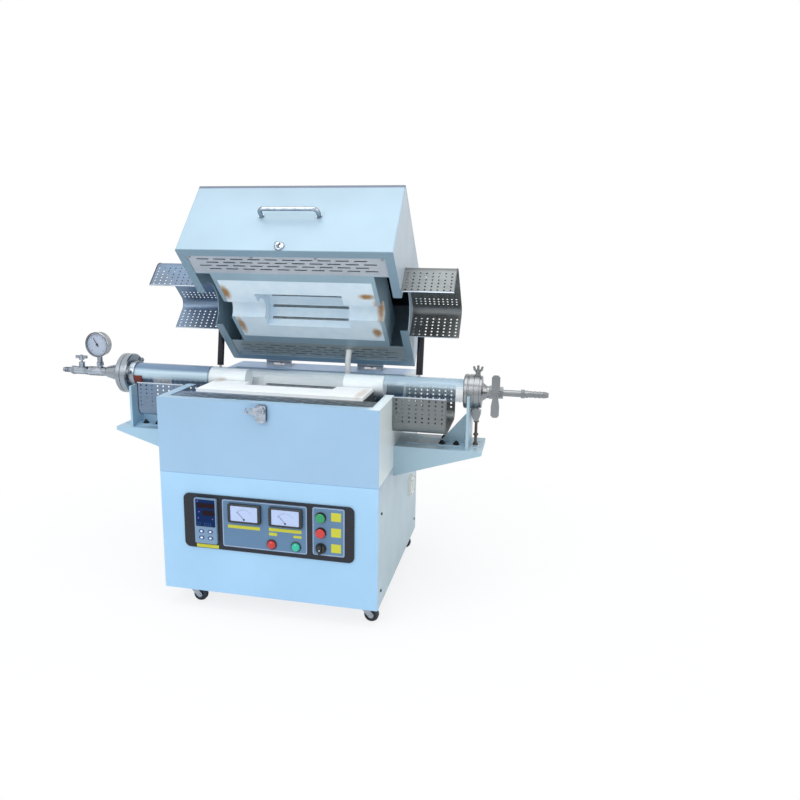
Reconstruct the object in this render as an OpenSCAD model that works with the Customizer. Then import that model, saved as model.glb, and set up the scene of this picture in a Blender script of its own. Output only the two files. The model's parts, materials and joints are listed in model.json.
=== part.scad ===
// Split tube furnace on castors, lid open, quartz work tube with vacuum flanges.
// Millimetres. +Z up, front face towards -Y, tube axis on Y = 0, floor at Z = 0.

/* [Cabinet] */
// Width of cabinet and lid
body_w = 550; // [480:5:640]
// Depth of the cabinet
body_d = 540; // [500:5:600]
// Depth of the deck left behind the lid
deck_back = 65; // [55:1:75]
// Distance of the tube axis behind the front face
tube_setback = 237; // [225:1:250]
// Height of the castors
castor_h = 50; // [44:1:60]
// Height of the lower cabinet
cabinet_h = 305; // [280:5:360]
// Height of the upper shell
shell_h = 185; // [170:5:200]
// Height of the lid
lid_h = 220; // [190:5:240]
// Sheet thickness
sheet = 2; // [1.5:0.5:3]
// Radius of the upright corners
corner_r = 4; // [3:0.5:8]
// Width of the folded rim
rim_w = 22; // [18:1:26]
// Reach of the deck under the lid
deck_under = 30; // [22:1:38]
// Gap between the two rims with the lid shut
lid_gap = 4; // [3:0.5:5]
// Angle the lid stands open at rest
lid_open = 43.2; // [30:0.1:55]
// Depth of the shadow groove between cabinet and shell
seam_groove = 1; // [0.5:0.1:1.5]
// Width of the inner joining flanges
join_flange = 14; // [10:1:20]

/* [Hot zone] */
// Half length of the fibre block
fibre_x = 204; // [190:1:210]
// Half depth of the fibre block
fibre_y = 121; // [110:1:128]
// Height of each fibre half
fibre_h = 98; // [90:1:105]
// Width of the liner lip round the fibre, at the ends
lip_x = 11; // [8:1:14]
// Width of the liner lip round the fibre, front and back
lip_y = 27; // [20:1:30]
// Thickness of the liner steel
liner_t = 1.5; // [1:0.5:2]
// Radius of the heated chamber
chamber_r = 68; // [60:1:70]
// Half length of the heated chamber
chamber_x = 118; // [112:1:124]
// Clearance of the fibre round the tube
bore_gap = 1.5; // [1:0.5:3]
// Half length of a heating element
heater_x = 107; // [90:1:109]
// Radius of a heating element
heater_r = 3; // [2:0.5:4]
// Angle between heating elements
heater_step = 27.5; // [25:0.5:30]
// Face gap between the fibre halves when shut
fibre_gap = 0.3; // [0.2:0.1:0.5]
// Radius of the tube notches in the side walls
notch_r = 70; // [60:1:74]

/* [Vent plates] */
// Thickness of the slotted plates
vent_t = 1.5; // [1:0.5:2]
// Length of one slot
slot_l = 32; // [24:1:36]
// Width of one slot
slot_w = 4; // [3:0.5:6]
// Spacing of the slots along a row
slot_pitch = 45; // [42:1:56]
// Spacing of the rows
slot_row = 12; // [10:0.5:14]
// Overlap of a plate on the rim
vent_seat = 6; // [4:1:10]

/* [Tube and flanges] */
// Outside radius of the tube
tube_r = 30; // [25:1:34]
// Wall of the tube
tube_wall = 2.5; // [2:0.5:4]
// Left end of the tube
tube_left = 483; // [470:1:500]
// Right end of the tube
tube_right = 471; // [460:1:480]
// Inner end of the fibre plugs
plug_in = 133; // [120:1:150]
// Length of a fibre plug
plug_l = 104; // [80:1:120]
// Radius of the left flange
left_flange_r = 54; // [53:1:60]
// Thickness of the left clamping ring
left_ring_t = 17; // [14:1:20]
// Thickness of the left cap
left_cap_t = 14; // [10:1:16]
// Thickness of the flange seals
seal_t = 1.5; // [1:0.5:3]
// Radius of the flange bolt circle
flange_bolt_pcd_r = 45; // [43:1:47]
// Length of the left neck
left_neck_l = 62.5; // [50:0.5:70]
// Radius of the right collar
collar_r = 43; // [40:1:46]
// Length of the right collar
collar_l = 27; // [22:1:32]
// Radius of the small right flange
small_flange_r = 38; // [36:1:41]
// Width of the clamp ring
clamp_w = 12; // [10:1:14]
// Length of the right neck
right_neck_l = 19.5; // [14:0.5:24]
// Radius of the outlet pipe
pipe_r = 8; // [7:0.5:9]
// Length of the outlet pipe
pipe_l = 43; // [35:1:60]
// Length of the right hose barb
barb_l = 66; // [50:1:75]
// Largest radius of the right hose barb
barb_r = 9; // [8.5:0.5:11]

/* [Gauge and valves] */
// Radius of the gauge case
gauge_r = 35; // [28:1:38]
// Depth of the gauge case
gauge_d = 26; // [20:1:32]
// Height of the gauge centre above the tube axis
gauge_rise = 76; // [70:1:90]
// Distance of the gauge from the neck
gauge_offset = 12; // [10:1:16]
// Angle of the gauge pointer left of upright
gauge_angle = 30; // [0:1:90]
// Length of the left tee
tee_l = 44; // [40:1:50]
// Radius of the left tee
tee_r = 13; // [11:1:15]
// Length of the needle valve
valve_l = 56; // [48:1:62]
// Length of the left hose barb
left_barb_l = 28; // [24:1:34]
// Reach of one arm of the valve handle
handle_arm = 52; // [42:1:58]
// Distance of the valve handle in front of the pipe
handle_reach = 48; // [47:1:56]

/* [Trays and supports] */
// Length of a tray
tray_l = 217; // [200:1:240]
// Half depth of a tray
tray_y = 67; // [62:1:75]
// Distance of the trays below the rim
tray_drop = 130; // [120:1:140]
// Height of a tray at the cabinet
tray_root_h = 78; // [60:1:90]
// Height of a tray at its tip
tray_tip_h = 10; // [8:1:16]
// Distance of the supports from the middle
support_x = 452; // [445:1:458]
// Thickness of the support plates
support_t = 6; // [5:1:8]
// Half depth of a support
support_y = 60; // [54:1:64]
// Length of a support foot
foot_l = 72; // [60:1:80]
// Half depth of a support foot
foot_y = 38; // [34:1:44]
// Thickness of a support foot
foot_t = 4; // [3:1:6]
// Half spacing of the foot bolts across the tray
bolt_y = 26; // [22:1:30]
// Distance of the first foot bolt from the support plate
bolt_x1 = 26; // [22:1:30]
// Distance of the second foot bolt from the support plate
bolt_x2 = 62; // [54:1:66]
// Radius of the support bolts
bolt_r = 4; // [3:0.5:5]

/* [Heat shields] */
// Reach of the shields beyond the cabinet
shield_l = 132; // [120:1:140]
// Half depth of the shields
shield_y = 94; // [88:1:98]
// Height of the shields
shield_h = 90; // [76:1:92]
// Thickness of the shields
shield_t = 1.2; // [1:0.1:2]
// Bend radius of the shields
shield_bend = 24; // [12:1:30]
// Radius of the perforations
perf_r = 2.6; // [2:0.1:3.5]
// Spacing of the perforations along the walls
perf_pitch = 16; // [14:0.5:20]
// Spacing of the perforation rows
perf_row = 10.5; // [8:0.5:12]
// Spacing of the closer perforations in the web
web_pitch = 12; // [11:0.5:16]

/* [Control panel] */
// Width of the black panel
panel_w = 430; // [400:1:450]
// Height of the black panel
panel_h = 138; // [130:1:150]
// Distance of the panel centre below the rim
panel_drop = 304; // [290:1:315]
// Sideways place of the panel centre
panel_x = 3; // [-5:1:10]
// Thickness of the black panel
panel_t = 4; // [3:0.5:6]
// Thickness of the instrument plates
plate_t = 1.5; // [1:0.5:2.5]
// Radius of the push buttons
button_r = 9; // [7:0.5:11]
// Height of the push buttons
button_h = 6; // [4:0.5:9]
// Travel of the push buttons
button_travel = 3; // [2:0.5:4]
// Radius of the rotary selector
selector_r = 12; // [10:0.5:14]
// Radius of the pilot lamps
lamp_r = 10; // [8:0.5:12]

/* [Lid fittings] */
// Distance of the hinge axis behind the lid
hinge_back = 19; // [16:1:22]
// Height of the hinge axis above the shell rim
hinge_rise = 15; // [13:1:18]
// Distance of each hinge from the middle
hinge_x = 140; // [120:1:160]
// Length of each hinge
hinge_l = 76; // [60:1:90]
// Radius of the hinge barrel
barrel_r = 7; // [6:0.5:8]
// Radius of the hinge pin
hinge_pin_r = 3; // [2:0.5:4]
// Height of the pull handle above the lid rim
pull_z = 113; // [90:1:140]
// Length of the pull handle
pull_l = 150; // [130:1:190]
// Stand-off of the pull handle
pull_reach = 26; // [22:1:40]
// Radius of the pull handle bar
pull_r = 5.5; // [4:0.5:7]
// Sideways place of the latch
latch_x = -5; // [-15:1:15]
// Distance of the latch pivot below the shell rim
latch_drop = 17; // [16:1:20]
// Height of the catch stud above the lid rim
catch_z = 7; // [6:1:9]
// Radius of the catch stud
catch_r = 3.5; // [2.5:0.5:4.5]
// Radius of the sleeve round the heater lead
lead_r = 8; // [6:0.5:9]
// Sideways place of the heater lead
lead_x = 92; // [80:1:110]
// Distance of the lead inside the back of the lid
lead_in = 58; // [54:1:64]

/* [Gas struts] */
// Distance of the struts outside the cabinet
strut_out = 21; // [18:1:25]
// Upper pivot behind the tube axis, lid shut
strut_top_y = 137; // [125:1:150]
// Upper pivot above the shell rim, lid shut
strut_top_z = 66; // [60:1:75]
// Lower pivot behind the tube axis
strut_low_y = 169; // [160:1:178]
// Lower pivot below the shell rim
strut_low_z = 78; // [70:1:86]
// Radius of the strut cylinder
strut_r = 9.5; // [7:0.5:11]
// Distance of the cylinder's gland from the upper pivot
strut_gland = 130; // [124:1:132]
// Radius of the strut rod
rod_r = 4; // [3:0.5:5]
// Length of the rod above the lower pivot
rod_l = 112; // [108:1:114]
// Radius of the pivot studs
stud_r = 4; // [3:0.5:5]
// Radial play at the open lower pivot
open_play = 2.6; // [2.4:0.1:3]
// Thickness of the strut eyes
eye_t = 8; // [6:0.5:10]

/* [Castors] */
// Radius of a wheel
wheel_r = 18; // [15:0.5:20]
// Width of a wheel
wheel_w = 16; // [12:1:20]
// Trail of a wheel behind its swivel
castor_trail = 26; // [20:1:30]
// Sideways place of the swivels
castor_x = 225; // [200:1:240]
// Distance of the swivels inside the cabinet's front and back
castor_inset = 45; // [40:1:70]
// Radius of the swivel stems
stem_r = 5; // [4:0.5:6]

/* [Hidden] */
running = 0.05;
seat_gap = 0.2;
eps = 0.01;
body_front = -tube_setback;
body_back = body_front + body_d;
lid_d = body_d - deck_back;
deck_d = deck_back + deck_under;
lid_back = body_front + lid_d;
base_z = castor_h;
seam_z = base_z + cabinet_h;
rim_z = seam_z + shell_h;
lid_z = rim_z + lid_gap;
tube_z = lid_z + sheet;
half_w = body_w / 2;
hinge_y = lid_back + hinge_back;
hinge_z = rim_z + hinge_rise;
tray_z = rim_z - tray_drop;
liner_x = fibre_x + lip_x;
liner_y = fibre_y + lip_y;
vent_x = half_w - rim_w + vent_seat;
lid_top = lid_z + lid_h;
lead_y = lid_back - lead_in;
strut_x = half_w + strut_out;
lead_arc = norm([hinge_y - lead_y, hinge_z - lid_z]);
cut = 1;
hex_h = 5;
// panel
panel_z = rim_z - panel_drop;
panel_face = body_front - panel_t;
plate_face = panel_face - plate_t;
controller_left = 157;
controller_w = 60;
controller_h = 117;
controller_back = 26;
controller_x = panel_x - controller_left;
controller_z = panel_z + 2;
meter_xs = [panel_x - 57, panel_x + 47];
meter_z = panel_z + 30;
meter_w = 81;
meter_h = 47;
meter_back = 22;
lamp_xs = [panel_x + 12, panel_x + 73];
lamp_z = panel_z - 41;
lamp_back = 14;
switch_x = panel_x + 135;
switch_zs = [panel_z + 39, panel_z + 1, panel_z - 38];
switch_hole = 5;
plate_gap = 0.3;
ring_h = 2;
// trays and flanges
tray_end = half_w + tray_l;
slot_end = support_x - bolt_x1 + 14;
bolt_xs = [support_x - bolt_x1, support_x - bolt_x2];
pad_t = 4;
pad_l = 22;
left_stack = tube_left + seal_t;
left_face = left_stack + left_cap_t;
ring_face = tube_left - left_ring_t;
flange_bolts = [45, 165, 285];
gland_l = 13;
left_seal_r = flange_bolt_pcd_r - bolt_r - 1;
neck_end = -left_face - left_neck_l;
gauge_x = neck_end - gauge_offset;
gauge_z = tube_z + gauge_rise;
gauge_face = -gauge_d / 2;
dial_in = 5;
tee_end = neck_end - tee_l;
valve_end = tee_end - valve_l;
valve_x = tee_end - valve_l * 0.45;
knob_z = tube_z + 30;
collar_x = tube_right - collar_l - 4;
cap_x = tube_right + seal_t;
cap_end = cap_x + 9;
clamp_x = (tube_right + cap_x) / 2 - clamp_w / 2;
ring_r = small_flange_r + 5;
stud_x = clamp_x + clamp_w / 2;
lug_z = tube_z - ring_r - 30;
stud_top = lug_z + 8;
ear_z = tube_z + small_flange_r + 14;
neck_x = cap_end + right_neck_l;
ball_x = neck_x + 18;
pipe_x = neck_x + 34;
pipe_end = pipe_x + pipe_l;
// lid hinge, struts and latch
hinge_x0 = hinge_x - hinge_l / 2;
hinge_x1 = hinge_x + hinge_l / 2;
knuckle = 20;
strut_y = hinge_y + (strut_top_y - hinge_y) * cos(lid_open) + (rim_z + strut_top_z - hinge_z) * sin(lid_open);
strut_z = hinge_z - (strut_top_y - hinge_y) * sin(lid_open) + (rim_z + strut_top_z - hinge_z) * cos(lid_open);
low_z = rim_z - strut_low_z;
strut_len = norm([strut_y - strut_low_y, strut_z - low_z]);
strut_angle = atan2(strut_y - strut_low_y, strut_z - low_z);
latch_z = rim_z - latch_drop;
catch_reach = lid_z + catch_z - latch_z;
block_t = 12;
latch_y = body_front - block_t - 2;
lever_t = 3;
// castors
axle_r = 3;
castor_y0 = body_front + castor_inset;
castor_y1 = body_back - castor_inset;

// ---------- shared shapes ----------

// A box given by its two corners.
module span(a, b) {
    translate(a) cube(b - a);
}

// A round bar along X.
module bar_x(x0, x1, r, y = 0, z = 0, n = 40) {
    translate([x0, y, z]) rotate([0, 90, 0]) cylinder(r = r, h = x1 - x0, $fn = n);
}

// A round bar along Y.
module bar_y(y0, y1, r, x = 0, z = 0, n = 40) {
    translate([x, y0, z]) rotate([-90, 0, 0]) cylinder(r = r, h = y1 - y0, $fn = n);
}

// A round bar along Z.
module bar_z(z0, z1, r, x = 0, y = 0, n = 40) {
    translate([x, y, z0]) cylinder(r = r, h = z1 - z0, $fn = n);
}

// A flat rounded rectangle centred on the origin.
module rounded(w, h, r) {
    square([w - 2 * r, h], center = true);
    square([w, h - 2 * r], center = true);
    for (sx = [-1, 1], sy = [-1, 1])
        translate([sx * (w / 2 - r), sy * (h / 2 - r)]) circle(r = r, $fn = 24);
}

// A plate on the front face: centre x and z, from y0 forward by t.
module front_plate(x, z, w, h, r, t, y0) {
    translate([x, y0, z]) rotate([90, 0, 0]) linear_extrude(t) rounded(w, h, r);
}

// The upright prism of the cabinet outline, grown inwards by d.
module outline(z0, z1, depth, d = 0) {
    translate([0, body_front + depth / 2, z0])
        linear_extrude(z1 - z0) rounded(body_w - 2 * d, depth - 2 * d, corner_r);
}

// A profile turned about the X axis through the tube: points are [radius, x].
module turned_x(points, n = 48) {
    translate([0, 0, tube_z]) rotate([0, 90, 0]) rotate_extrude($fn = n) polygon(points);
}

// Copies on both sides, the left one mirrored.
module both_sides() {
    children();
    mirror([1, 0, 0]) children();
}

// Turns what is drawn with the lid shut to the open lid.
module lid_pose() {
    translate([0, hinge_y, hinge_z]) rotate([-lid_open, 0, 0]) translate([0, -hinge_y, -hinge_z])
        children();
}

// ---------- cabinet ----------

// What passes through the panel, with a clearance all round.
module panel_holes(gap) {
    front_plate(controller_x, controller_z, controller_w - 8 + 2 * gap, controller_h - 8 + 2 * gap,
        3, 40, body_front + 20);
    for (x = meter_xs)
        front_plate(x, meter_z, meter_w - 12 + 2 * gap, meter_h - 10 + 2 * gap, 3, 40, body_front + 20);
    for (x = lamp_xs) bar_y(body_front - 20, body_front + 20, lamp_r - 2 + gap, x, lamp_z, 24);
    for (z = switch_zs) bar_y(body_front - 20, body_front + 20, switch_hole + gap, switch_x, z, 24);
}

module lower_cabinet() {
    color([0.70, 0.86, 0.95]) {
        difference() {
            outline(base_z, seam_z - seam_groove, body_d);
            outline(base_z + sheet, seam_z - seam_groove - sheet, body_d, sheet);
            outline(seam_z - 2 * sheet - seam_groove, seam_z + cut, body_d, join_flange);
            span([-half_w + 20, body_back - sheet - cut, base_z + 20],
                [half_w - 20, body_back + cut, seam_z - 20]);
            panel_holes(0.5);
            castor_places() bar_z(base_z - cut, base_z + sheet + cut, stem_r + 3, 0, 0, 24);
        }
        castor_places() difference() {
            bar_z(base_z, base_z + 10, stem_r + 7, 0, 0, 32);
            bar_z(base_z - cut, base_z + 10 + cut, stem_r + running, 0, 0, 32);
        }
    }
}

// The four swivel places.
module castor_places() {
    for (x = [-castor_x, castor_x], y = [castor_y0, castor_y1])
        translate([x, y, 0]) children();
}

module upper_shell() {
    rim_in = half_w - rim_w;
    deck_y = body_back - deck_d;
    color([0.70, 0.86, 0.95]) difference() {
        union() {
            difference() {
                outline(seam_z, rim_z, body_d);
                outline(seam_z - cut, rim_z - sheet, body_d, sheet);
                span([-rim_in, body_front + rim_w, rim_z - sheet - cut], [rim_in, deck_y, rim_z + cut]);
            }
            // joining flange, set in to leave the shadow groove
            difference() {
                outline(seam_z - seam_groove, seam_z + sheet, body_d, seam_groove);
                outline(seam_z - seam_groove - cut, seam_z + sheet + cut, body_d, join_flange);
            }
        }
        bar_x(-half_w - cut, half_w + cut, notch_r, 0, tube_z, 64);
    }
}

module rear_panel() {
    louvre_w = 70;
    louvre_h = 5;
    inlet_w = 30;
    inlet_h = 24;
    inlet_in = 45;
    inlet_z = base_z + 40;
    color([0.66, 0.80, 0.88]) difference() {
        span([-half_w + 8, body_back, base_z + 8], [half_w - 8, body_back + sheet, seam_z - 12]);
        for (row = [0:6], side = [-1, 0, 1])
            translate([side * 110 - louvre_w / 2, body_back - cut, seam_z - 60 - row * 16])
                cube([louvre_w, sheet + 2 * cut, louvre_h]);
        span([-half_w + inlet_in, body_back - cut, inlet_z],
            [-half_w + inlet_in + inlet_w, body_back + sheet + cut, inlet_z + inlet_h]);
    }
}

module control_bezel() {
    color([0.09, 0.09, 0.10]) difference() {
        front_plate(panel_x, panel_z, panel_w, panel_h, 14, panel_t, body_front);
        panel_holes(0.4);
    }
}

module panel_plates() {
    centre_w = 215;
    centre_h = 121;
    right_w = 79;
    right_h = 120;
    right_in = 153.5;
    ring = 3;
    color([0.62, 0.70, 0.78]) difference() {
        union() {
            front_plate(panel_x - 6.5, panel_z + 2, centre_w, centre_h, 3, plate_t, panel_face);
            front_plate(panel_x + right_in, panel_z + 4, right_w, right_h, 3, plate_t, panel_face);
            for (z = switch_zs)
                bar_y(plate_face - ring_h, panel_face, button_r + 1 + ring, switch_x, z, 32);
        }
        panel_holes(plate_gap);
        for (z = switch_zs)
            bar_y(plate_face - 3, plate_face + 0.5, button_r + 1, switch_x, z, 32);
    }
}

module controller() {
    proud = 8;
    face_w = 50;
    face_h = 71;
    face_up = 21;
    key_xs = [-11, 12];
    key_zs = [-30, -45];
    color([0.80, 0.82, 0.84]) {
        difference() {
            front_plate(controller_x, controller_z, controller_w, controller_h, 3, proud, panel_face);
            front_plate(controller_x, controller_z + face_up, face_w, face_h, 2, 3, panel_face - proud + 1.5);
        }
        front_plate(controller_x, controller_z, controller_w - 8, controller_h - 8, 3,
            controller_back + panel_t, body_front + controller_back);
        for (x = key_xs, z = key_zs)
            bar_y(panel_face - proud - 1, panel_face - proud, 4, controller_x + x, controller_z + z, 20);
    }
}

module meter_cases() {
    proud = 9;
    frame_w = 5;
    color([0.12, 0.12, 0.13]) for (x = meter_xs) {
        difference() {
            front_plate(x, meter_z, meter_w, meter_h, 3, proud, plate_face);
            front_plate(x, meter_z, meter_w - 2 * frame_w, meter_h - 2 * frame_w, 2, proud, plate_face - 3);
        }
        front_plate(x, meter_z, meter_w - 12, meter_h - 10, 3, meter_back - plate_face + body_front,
            body_front + meter_back);
    }
}

module lamps() {
    color([0.85, 0.20, 0.20]) for (x = lamp_xs) {
        translate([x, plate_face, lamp_z]) rotate([90, 0, 0]) rotate_extrude($fn = 32)
            polygon([[0, 0], [lamp_r + 2, 0], [lamp_r + 2, 2], [lamp_r, 2], [lamp_r, 5],
                [lamp_r * 0.7, 8], [0, 9]]);
        bar_y(plate_face, body_front + lamp_back, lamp_r - 2, x, lamp_z, 24);
    }
}

module side_socket() {
    socket_y = 190;
    socket_up = 172;
    socket_z = base_z + socket_up;
    socket_w = 52;
    pin_r = 2.6;
    color([0.93, 0.93, 0.90]) difference() {
        translate([half_w, socket_y, socket_z]) rotate([90, 0, 90]) linear_extrude(8)
            rounded(socket_w, socket_w, 5);
        bar_x(half_w + 3, half_w + 8 + cut, 19, socket_y, socket_z, 40);
        for (a = [90, 210, 330])
            bar_x(half_w + 0.5, half_w + 8, pin_r, socket_y + 9 * cos(a), socket_z + 9 * sin(a), 16);
    }
}

// ---------- hot zone ----------

// Steel liner round one fibre half with its two slotted plates. side is -1 below, 1 above;
// face is the height of the lip and of the rim surface the plates bear on.
module liner(side, face, back_y, lead_hole_y) {
    outer = face + side * (fibre_h + liner_t);
    plate = face + side * vent_t;
    z_lo = min(face, outer);
    z_hi = max(face, outer);
    p_lo = min(face, plate);
    p_hi = max(face, plate);
    difference() {
        union() {
            difference() {
                span([-liner_x, -liner_y, z_lo], [liner_x, liner_y, z_hi]);
                span([-liner_x + liner_t, -liner_y + liner_t, z_lo + liner_t],
                    [liner_x - liner_t, liner_y - liner_t, z_hi - liner_t]);
                span([-fibre_x - seat_gap, -fibre_y - seat_gap, min(face, face + side * 2 * liner_t) - cut],
                    [fibre_x + seat_gap, fibre_y + seat_gap, max(face, face + side * 2 * liner_t) + cut]);
            }
            vent_plate(p_lo, p_hi, body_front + rim_w - vent_seat, -liner_y + liner_t);
            vent_plate(p_lo, p_hi, liner_y - liner_t, back_y);
        }
        bar_x(-liner_x - cut, liner_x + cut, tube_r + 3 * bore_gap, 0, tube_z, 48);
        bar_z(p_lo - 3, p_hi + 3, lead_r + 3, lead_x, lead_hole_y, 32);
    }
}

// One slotted plate between two depths.
module vent_plate(z0, z1, y0, y1) {
    rows = floor((y1 - y0 - 16) / slot_row);
    first = (y0 + y1) / 2 - (rows - 1) * slot_row / 2;
    columns = floor((2 * vent_x - slot_pitch) / slot_pitch);
    difference() {
        span([-vent_x, y0, z0], [vent_x, y1, z1]);
        for (row = [0:rows - 1], column = [0:columns - 1])
            translate([(column - (columns - 1) / 2 + (row % 2) / 2 - 1 / 4) * slot_pitch,
                first + row * slot_row, (z0 + z1) / 2])
                cube([slot_l, slot_w, z1 - z0 + 2 * cut], center = true);
    }
}

module lower_liner() {
    color([0.62, 0.62, 0.60])
        liner(-1, rim_z - sheet, body_back - deck_d + vent_seat,
            hinge_y - sqrt(pow(lead_arc, 2) - pow(hinge_z - rim_z + sheet, 2)));
}

module lid_liner() {
    color([0.62, 0.62, 0.60]) lid_pose()
        liner(1, lid_z + sheet, lid_back - rim_w + vent_seat, lead_y);
}

// One fibre half. side is -1 below, 1 above; lip is the liner's face, face the meeting face.
module fibre_half(side, face, lip) {
    under = lip + side * liner_t;
    far = lip + side * fibre_h;
    difference() {
        union() {
            span([-liner_x + liner_t + seat_gap, -liner_y + liner_t + seat_gap, min(under, far)],
                [liner_x - liner_t - seat_gap, liner_y - liner_t - seat_gap, max(under, far)]);
            span([-fibre_x, -fibre_y, min(face, far)], [fibre_x, fibre_y, max(face, far)]);
            if (side < 0) span([-liner_x + 1, -liner_y + 1, lip], [liner_x - 1, liner_y - 1, face]);
        }
        bar_x(-liner_x - cut, liner_x + cut, tube_r + bore_gap, 0, tube_z, 48);
        bar_x(-chamber_x, chamber_x, chamber_r, 0, tube_z, 64);
        for (k = [-2.5:2.5]) translate([0, 0, tube_z]) rotate([k * heater_step, 0, 0])
            span([-heater_x - 2, -heater_r - 0.5, min(0, side * (chamber_r + 2 * heater_r))],
                [heater_x + 2, heater_r + 0.5, max(0, side * (chamber_r + 2 * heater_r))]);
    }
}

module lower_fibre() {
    color([0.96, 0.96, 0.93]) fibre_half(-1, tube_z - fibre_gap / 2, rim_z - sheet);
}

module lid_fibre() {
    color([0.96, 0.96, 0.93]) lid_pose() fibre_half(1, tube_z + fibre_gap / 2, lid_z + sheet);
}

// Heating elements lying in their grooves.
module heaters(side) {
    for (k = [-2.5:2.5]) translate([0, 0, tube_z]) rotate([k * heater_step, 0, 0])
        bar_x(-heater_x, heater_x, heater_r, 0, side * (chamber_r + heater_r), 16);
}

module lower_heaters() {
    color([0.30, 0.26, 0.24]) heaters(-1);
}

module lid_heaters() {
    color([0.30, 0.26, 0.24]) lid_pose() heaters(1);
}

module quartz_tube() {
    color([0.80, 0.88, 0.95, 0.4]) difference() {
        bar_x(-tube_left, tube_right, tube_r, 0, tube_z, 64);
        bar_x(-tube_left - cut, tube_right + cut, tube_r - tube_wall, 0, tube_z, 64);
    }
}

module fibre_plugs() {
    color([0.97, 0.97, 0.95]) both_sides()
        bar_x(plug_in, plug_in + plug_l, tube_r - tube_wall - running, 0, tube_z, 40);
}

// ---------- trays, supports and shields ----------

// A tapered inverted channel with slots for the foot bolts.
module tray() {
    difference() {
        union() {
            span([half_w, -tray_y, tray_z - sheet], [tray_end, tray_y, tray_z]);
            for (y = [-tray_y, tray_y - sheet]) translate([0, y + sheet, 0]) rotate([90, 0, 0])
                linear_extrude(sheet) polygon([[half_w, tray_z], [tray_end, tray_z],
                    [tray_end, tray_z - tray_tip_h], [half_w, tray_z - tray_root_h]]);
            span([half_w, -tray_y, tray_z - tray_root_h], [half_w + sheet, tray_y, tray_z]);
            span([tray_end - sheet, -tray_y, tray_z - tray_tip_h], [tray_end, tray_y, tray_z]);
        }
        for (y = [-bolt_y, bolt_y]) {
            span([half_w + 25, y - bolt_r - 0.5, tray_z - sheet - cut],
                [slot_end, y + bolt_r + 0.5, tray_z + cut]);
            span([tray_end - 26, y - 4, tray_z - sheet - cut], [tray_end - 6, y + 4, tray_z + cut]);
        }
    }
}

module trays() {
    color([0.72, 0.85, 0.92]) both_sides() tray();
}

// Upright, foot and gusset of one flange support. saddle is the radius of its saddle, drop
// the distance of its top below the tube axis.
module support(saddle, x, drop) {
    top = tube_z - drop;
    difference() {
        union() {
            span([x, -support_y, tray_z], [x + support_t, support_y, top]);
            span([support_x - foot_l, -foot_y, tray_z], [x + eps, foot_y, tray_z + foot_t]);
            translate([0, support_t / 2, 0]) rotate([90, 0, 0]) linear_extrude(support_t)
                polygon([[support_x - foot_l + 4, tray_z + foot_t - eps], [x + eps, tray_z + foot_t - eps],
                    [x + eps, tray_z + 76], [x - 8, tray_z + 76]]);
        }
        bar_x(x - 90, x + support_t + cut, saddle, 0, tube_z, 64);
        for (bx = bolt_xs, y = [-bolt_y, bolt_y])
            bar_z(tray_z - cut, tray_z + foot_t + cut, bolt_r + 0.2, bx, y, 24);
    }
}

module flange_supports() {
    color([0.72, 0.82, 0.86]) {
        support(collar_r + seat_gap, support_x, 3);
        mirror([1, 0, 0]) support(tube_r + pad_t + seat_gap, support_x - support_t, 24);
    }
}

module fixings() {
    head_r = bolt_r * 1.75;
    color([0.22, 0.23, 0.25]) {
        // foot bolts with their nuts under the tray
        both_sides() for (bx = bolt_xs, y = [-bolt_y, bolt_y]) {
            bar_z(tray_z - sheet - hex_h - 2, tray_z + foot_t + hex_h, bolt_r, bx, y, 16);
            bar_z(tray_z + foot_t, tray_z + foot_t + hex_h, head_r, bx, y, 6);
            bar_z(tray_z - sheet - hex_h, tray_z - sheet, head_r, bx, y, 6);
        }
        // left flange bolts
        for (a = flange_bolts) {
            y = flange_bolt_pcd_r * cos(a);
            z = tube_z + flange_bolt_pcd_r * sin(a);
            bar_x(-left_face - hex_h, -ring_face + hex_h + 4, bolt_r, y, z, 16);
            bar_x(-left_face - hex_h, -left_face, head_r, y, z, 6);
            bar_x(-ring_face, -ring_face + hex_h + 1, head_r, y, z, 6);
        }
        // levelling stud under the right collar
        bar_z(tray_z, stud_top, bolt_r, stud_x, 0, 16);
        for (z = [tray_z, tray_z + 24, lug_z - hex_h]) bar_z(z, z + hex_h, head_r, stud_x, 0, 6);
    }
}

// One open-ended perforated channel. way is 1 when it opens upwards, -1 downwards; edge is its rim.
module shield(edge, way) {
    x0 = half_w;
    x1 = half_w + shield_l;
    columns = floor((shield_l - 16) / perf_pitch) + 1;
    rows = floor((shield_h - shield_bend - 8) / perf_row) + 1;
    web_columns = floor((shield_l - 16) / web_pitch) + 1;
    difference() {
        channel(x0, x1, edge, way, shield_y, shield_h, shield_bend);
        channel(x0 - cut, x1 + cut, edge + way * cut, way, shield_y - shield_t,
            shield_h - shield_t + cut, shield_bend - shield_t);
        for (column = [0:columns - 1], row = [0:rows - 1])
            bar_y(-shield_y - cut, shield_y + cut, perf_r,
                (x0 + x1 + (2 * column - columns + 1) * perf_pitch) / 2, edge - way * (7 + row * perf_row), 8);
        for (column = [0:web_columns - 1], row = [0:2], s = [-1, 1])
            bar_z(edge - way * (shield_h - shield_t) - 2, edge - way * (shield_h - shield_t) + 2, perf_r,
                (x0 + x1 + (2 * column - web_columns + 1) * web_pitch) / 2,
                s * (shield_y - shield_bend - 4 - row * perf_row), 8);
    }
}

// A solid channel block with two rounded corners away from its open edge.
module channel(x0, x1, edge, way, half, h, bend) {
    translate([x0, 0, edge]) rotate([90, 0, 90]) linear_extrude(x1 - x0) {
        translate([-half, way > 0 ? -h + bend : 0]) square([2 * half, h - bend]);
        translate([-half + bend, way > 0 ? -h : h - bend - eps]) square([2 * (half - bend), bend + eps]);
        for (s = [-1, 1])
            translate([s * (half - bend), way > 0 ? -h + bend : h - bend]) circle(r = bend, $fn = 32);
    }
}

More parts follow.
